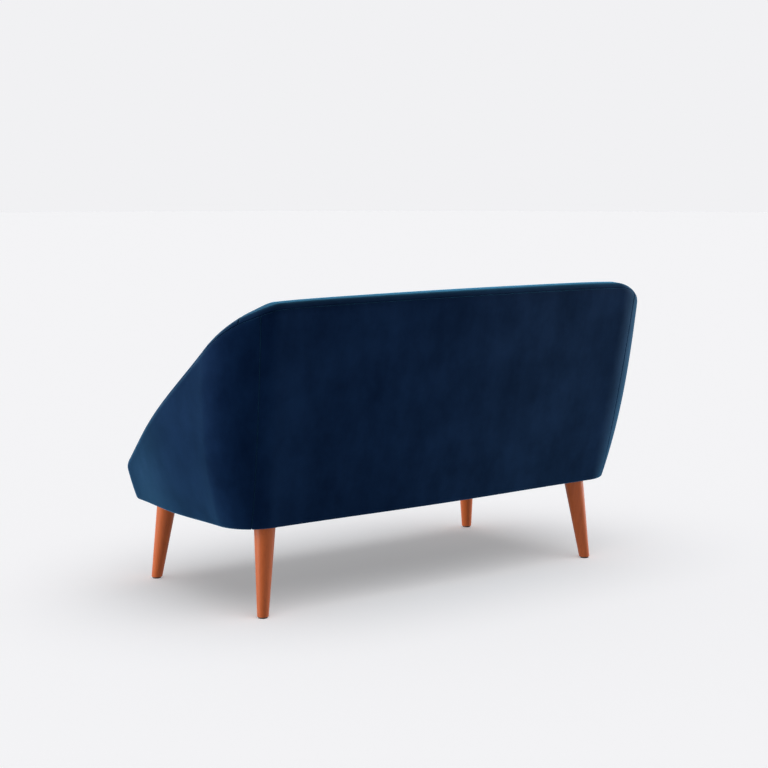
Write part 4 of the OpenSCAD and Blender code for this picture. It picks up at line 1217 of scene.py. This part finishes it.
FLOOR_GLOW, AMBIENT = 0.33, 0.24
FLOOR_ALBEDO, FLOOR_BLUE = 0.78, 1.019
STAGE_RADIUS = 30.0
LAMPS = {  # each soft box's place, target, width, height and power
    "window": ((4.2, -1.7, 1.2), (0.45, 0.0, 0.45), 2.4, 2.0, 235.0),
    "reflector": ((-3.4, 0.7, 0.9), (-0.5, 0.3, 0.5), 1.4, 1.6, 112.0),
    "front": ((0.6, -3.8, 1.7), (0.0, 0.0, 0.45), 2.4, 1.6, 70.0),
    "rear": ((-0.8, 3.8, 1.6), (0.0, 0.3, 0.5), 2.4, 1.6, 20.0),
    "ceiling": ((0.0, -0.4, 3.4), (0.0, 0.0, 0.5), 2.4, 1.6, 24.0),
}


def studio():
    """A wide pale floor and dome, one soft light from above for the floor, and soft boxes round
    the sofa."""
    scene = bpy.context.scene
    scene.view_settings.view_transform = "Standard"
    scene.view_settings.look = "None"
    world = bpy.data.worlds.new("studio")
    world.use_nodes = True
    sky = world.node_tree.nodes["Background"].inputs
    sky["Color"].default_value, sky["Strength"].default_value = (1.0, 1.0, 1.0, 1.0), AMBIENT
    scene.world = world
    grey = (FLOOR_ALBEDO, FLOOR_ALBEDO, FLOOR_ALBEDO * FLOOR_BLUE, 1.0)
    staged("floor", *disc(STAGE_RADIUS, 64), grey, FLOOR_GLOW)
    dome = staged("backdrop", *bowl(STAGE_RADIUS, 64, 24), (0.0, 0.0, 0.0, 1.0), 1.0)
    for ray in ("diffuse", "glossy", "transmission", "shadow"):
        setattr(dome, f"visible_{ray}", False)
    sun("overhead", (0.06, 0.30, 1.0), 1.79, 78.0)
    for name, settings in LAMPS.items():
        lamp(name, *settings)


def disc(radius, sides):
    """A disc as a ring of triangles about its middle."""
    turn = np.arange(sides) * 2 * math.pi / sides
    points = np.concatenate([[[0, 0, 0]], np.stack([radius * np.cos(turn), radius * np.sin(turn), 0 * turn], -1)])
    return points, [(0, 1 + i, 1 + (i + 1) % sides) for i in range(sides)]


def bowl(radius, sides, rings):
    """A half sphere on its rim: rings of points at equal angles up to the pole."""
    turn = np.arange(sides) * 2 * math.pi / sides
    up = np.linspace(-0.02, math.pi / 2, rings)
    points = np.stack([radius * np.cos(up)[:, None] * np.cos(turn), radius * np.cos(up)[:, None] * np.sin(turn),
                       radius * np.sin(up)[:, None] + 0 * turn], -1).reshape(-1, 3)
    faces = [(i * sides + j, i * sides + (j + 1) % sides, (i + 1) * sides + (j + 1) % sides, (i + 1) * sides + j)
             for i in range(rings - 1) for j in range(sides)]
    return points, faces


def staged(name, points, faces, colour, glow):
    """A matt stage piece that also glows in the stage's colour."""
    mesh = bpy.data.meshes.new(name)
    mesh.from_pydata([tuple(map(float, p)) for p in points], [], [tuple(map(int, f)) for f in faces])
    made = linked(name, mesh)
    mesh.materials.append(blank_material(
        name, Roughness=1.0, Specular_IOR_Level=0.0, Base_Color=colour, Emission_Strength=glow,
        Emission_Color=(*bpy.context.scene.sofa_colours.stage, 1.0))[0])
    made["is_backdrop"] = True
    return made


def aim(made, place, target):
    """Puts a lamp or a camera at a place, facing a target."""
    made.location = place
    made.rotation_mode = "QUATERNION"
    made.rotation_quaternion = (Vector(target) - Vector(place)).to_track_quat("-Z", "Y")


def sun(name, direction, power, spread_degrees):
    """A wide soft light from one direction, which lights only the floor."""
    light = bpy.data.lights.new(name, "SUN")
    light.energy, light.angle = power, math.radians(spread_degrees)
    made = linked(name, light)
    aim(made, Vector(direction) * 4, (0, 0, 0))
    made["floor_only"] = True


def lamp(name, place, target, width, height, power):
    """A soft box that lights only the sofa, so that the floor stays even."""
    light = bpy.data.lights.new(name, "AREA")
    light.shape, light.size, light.size_y, light.energy = "RECTANGLE", width, height, power
    made = linked(name, light)
    aim(made, place, target)
    made["sofa_only"] = True


def share_out_light():
    """The soft boxes light only the sofa, and the overhead light only the floor."""
    lit = {"sofa_only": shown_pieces(), "floor_only": [bpy.data.objects["floor"]]}
    for mark, receivers in lit.items():
        group = bpy.data.collections.new(mark)
        for made in receivers:
            group.objects.link(made)
        for made in bpy.context.scene.objects:
            if made.get(mark):
                made.light_linking.receiver_collection = group


VIEW = SimpleNamespace(azimuth=142.862, elevation=7.428, distance=4.5384, lens=82.2, sensor=36.0,
                       target=(-0.0034, -0.0204, 0.4901))


def camera():
    """Three-quarter view from behind the sofa's left, a little above it."""
    data = bpy.data.cameras.new("view")
    data.sensor_width, data.lens = VIEW.sensor, VIEW.lens
    made = linked("view", data)
    azimuth, elevation, target = math.radians(VIEW.azimuth), math.radians(VIEW.elevation), Vector(VIEW.target)
    back = Vector((math.sin(azimuth) * math.cos(elevation), -math.cos(azimuth) * math.cos(elevation),
                   math.sin(elevation)))
    aim(made, target + back * VIEW.distance, target)
    bpy.context.scene.camera = made


# ---- timber and metal ----------------------------------------------------
class SOFA_OT_legs_and_frame(Operator):
    """Give the legs, the hidden frame and the metal parts their finishes"""

    bl_idname = "sofa.legs_and_frame"
    bl_label = "Legs and Frame"

    def execute(self, context):
        c = context.scene.sofa_colours
        pine, ply = tuple(c.pine), tuple(c.plywood)
        across = finish_of("pine_across", sawn_wood, "pine_across", pine, (0.06, 1, 1))
        along = finish_of("pine_along", sawn_wood, "pine_along", pine, (1, 0.06, 1))
        upright = finish_of("pine_upright", sawn_wood, "pine_upright", pine, (1, 1, 0.06))
        birch = finish_of("birch_ply", sawn_wood, "birch_ply", ply, (1, 0.1, 0.1))
        spring = finish_of("spring_steel", metal, "spring_steel", (0.32, 0.33, 0.35), 0.34, 40.0)
        zinc = finish_of("zinc_steel", metal, "zinc_steel", (0.62, 0.64, 0.67), 0.30, 60.0)
        nylon = finish_of("nylon", moulded, "nylon", (0.045, 0.030, 0.022), 0.5)
        board = finish_of("fibre_board", paper_board, "fibre_board", (0.36, 0.28, 0.19))
        finishes = {
            across: ("front_rail", "rear_rail", "back_top_rail", "back_tack_rail"),
            along: ("side_rail_left", "side_rail_right", "cross_rail", "corner_blocks"),
            upright: ("back_posts",),
            birch: ("arm_panel_left", "arm_panel_right", "corner_ribs_left", "corner_ribs_right"),
            spring: ("seat_springs", "spring_clips"),
            zinc: ("leg_bolts", "tee_nuts"),
            nylon: ("leg_glides",),
            board: ("back_board", "side_board_left", "side_board_right"),
        }
        for material, names in finishes.items():
            for name in names:
                refinish(name, material)
        for leg in LEGS:
            refinish(leg, finish_of(leg, stained_beech, leg))
        return {"FINISHED"}


def refinish(name, material):
    made = frame["nodes"][name]
    if not made.material_slots:
        made.data.materials.append(material)
    for held in made.material_slots:
        held.material = material


# ---- panel and run -------------------------------------------------------
STEPS = ("stage", "legs_and_frame", "outer_covers", "inner_covers", "seat_base", "cushion")
GROUPS = {"sofa_shell": ShellSizes, "sofa_sewing": SewingSizes, "sofa_colours": SofaColours}


class SOFA_PT_panel(Panel):
    """Lists the sofa's pieces and sizes"""

    bl_label = "Two-seat Sofa"
    bl_idname = "SOFA_PT_panel"
    bl_space_type = "VIEW_3D"
    bl_region_type = "UI"
    bl_category = "Sofa"

    def draw(self, context):
        for step in STEPS:
            self.layout.operator(f"sofa.{step}")
        for group in GROUPS:
            box = self.layout.box()
            values = getattr(context.scene, group)
            for name in type(values).__annotations__:
                box.prop(values, name)


CLASSES = (*GROUPS.values(), SOFA_OT_stage, SOFA_OT_legs_and_frame, SOFA_OT_outer_covers,
           SOFA_OT_inner_covers, SOFA_OT_seat_base, SOFA_OT_cushion, SOFA_PT_panel)


def register():
    for cls in CLASSES:
        bpy.utils.register_class(cls)
    for group, sizes in GROUPS.items():
        setattr(bpy.types.Scene, group, PointerProperty(type=sizes))


def unregister():
    for group in GROUPS:
        delattr(bpy.types.Scene, group)
    for cls in reversed(CLASSES):
        bpy.utils.unregister_class(cls)


def main():
    register()
    for step in STEPS:
        getattr(bpy.ops.sofa, step)()
    share_out_light()


if __name__ == "__main__":
    main()
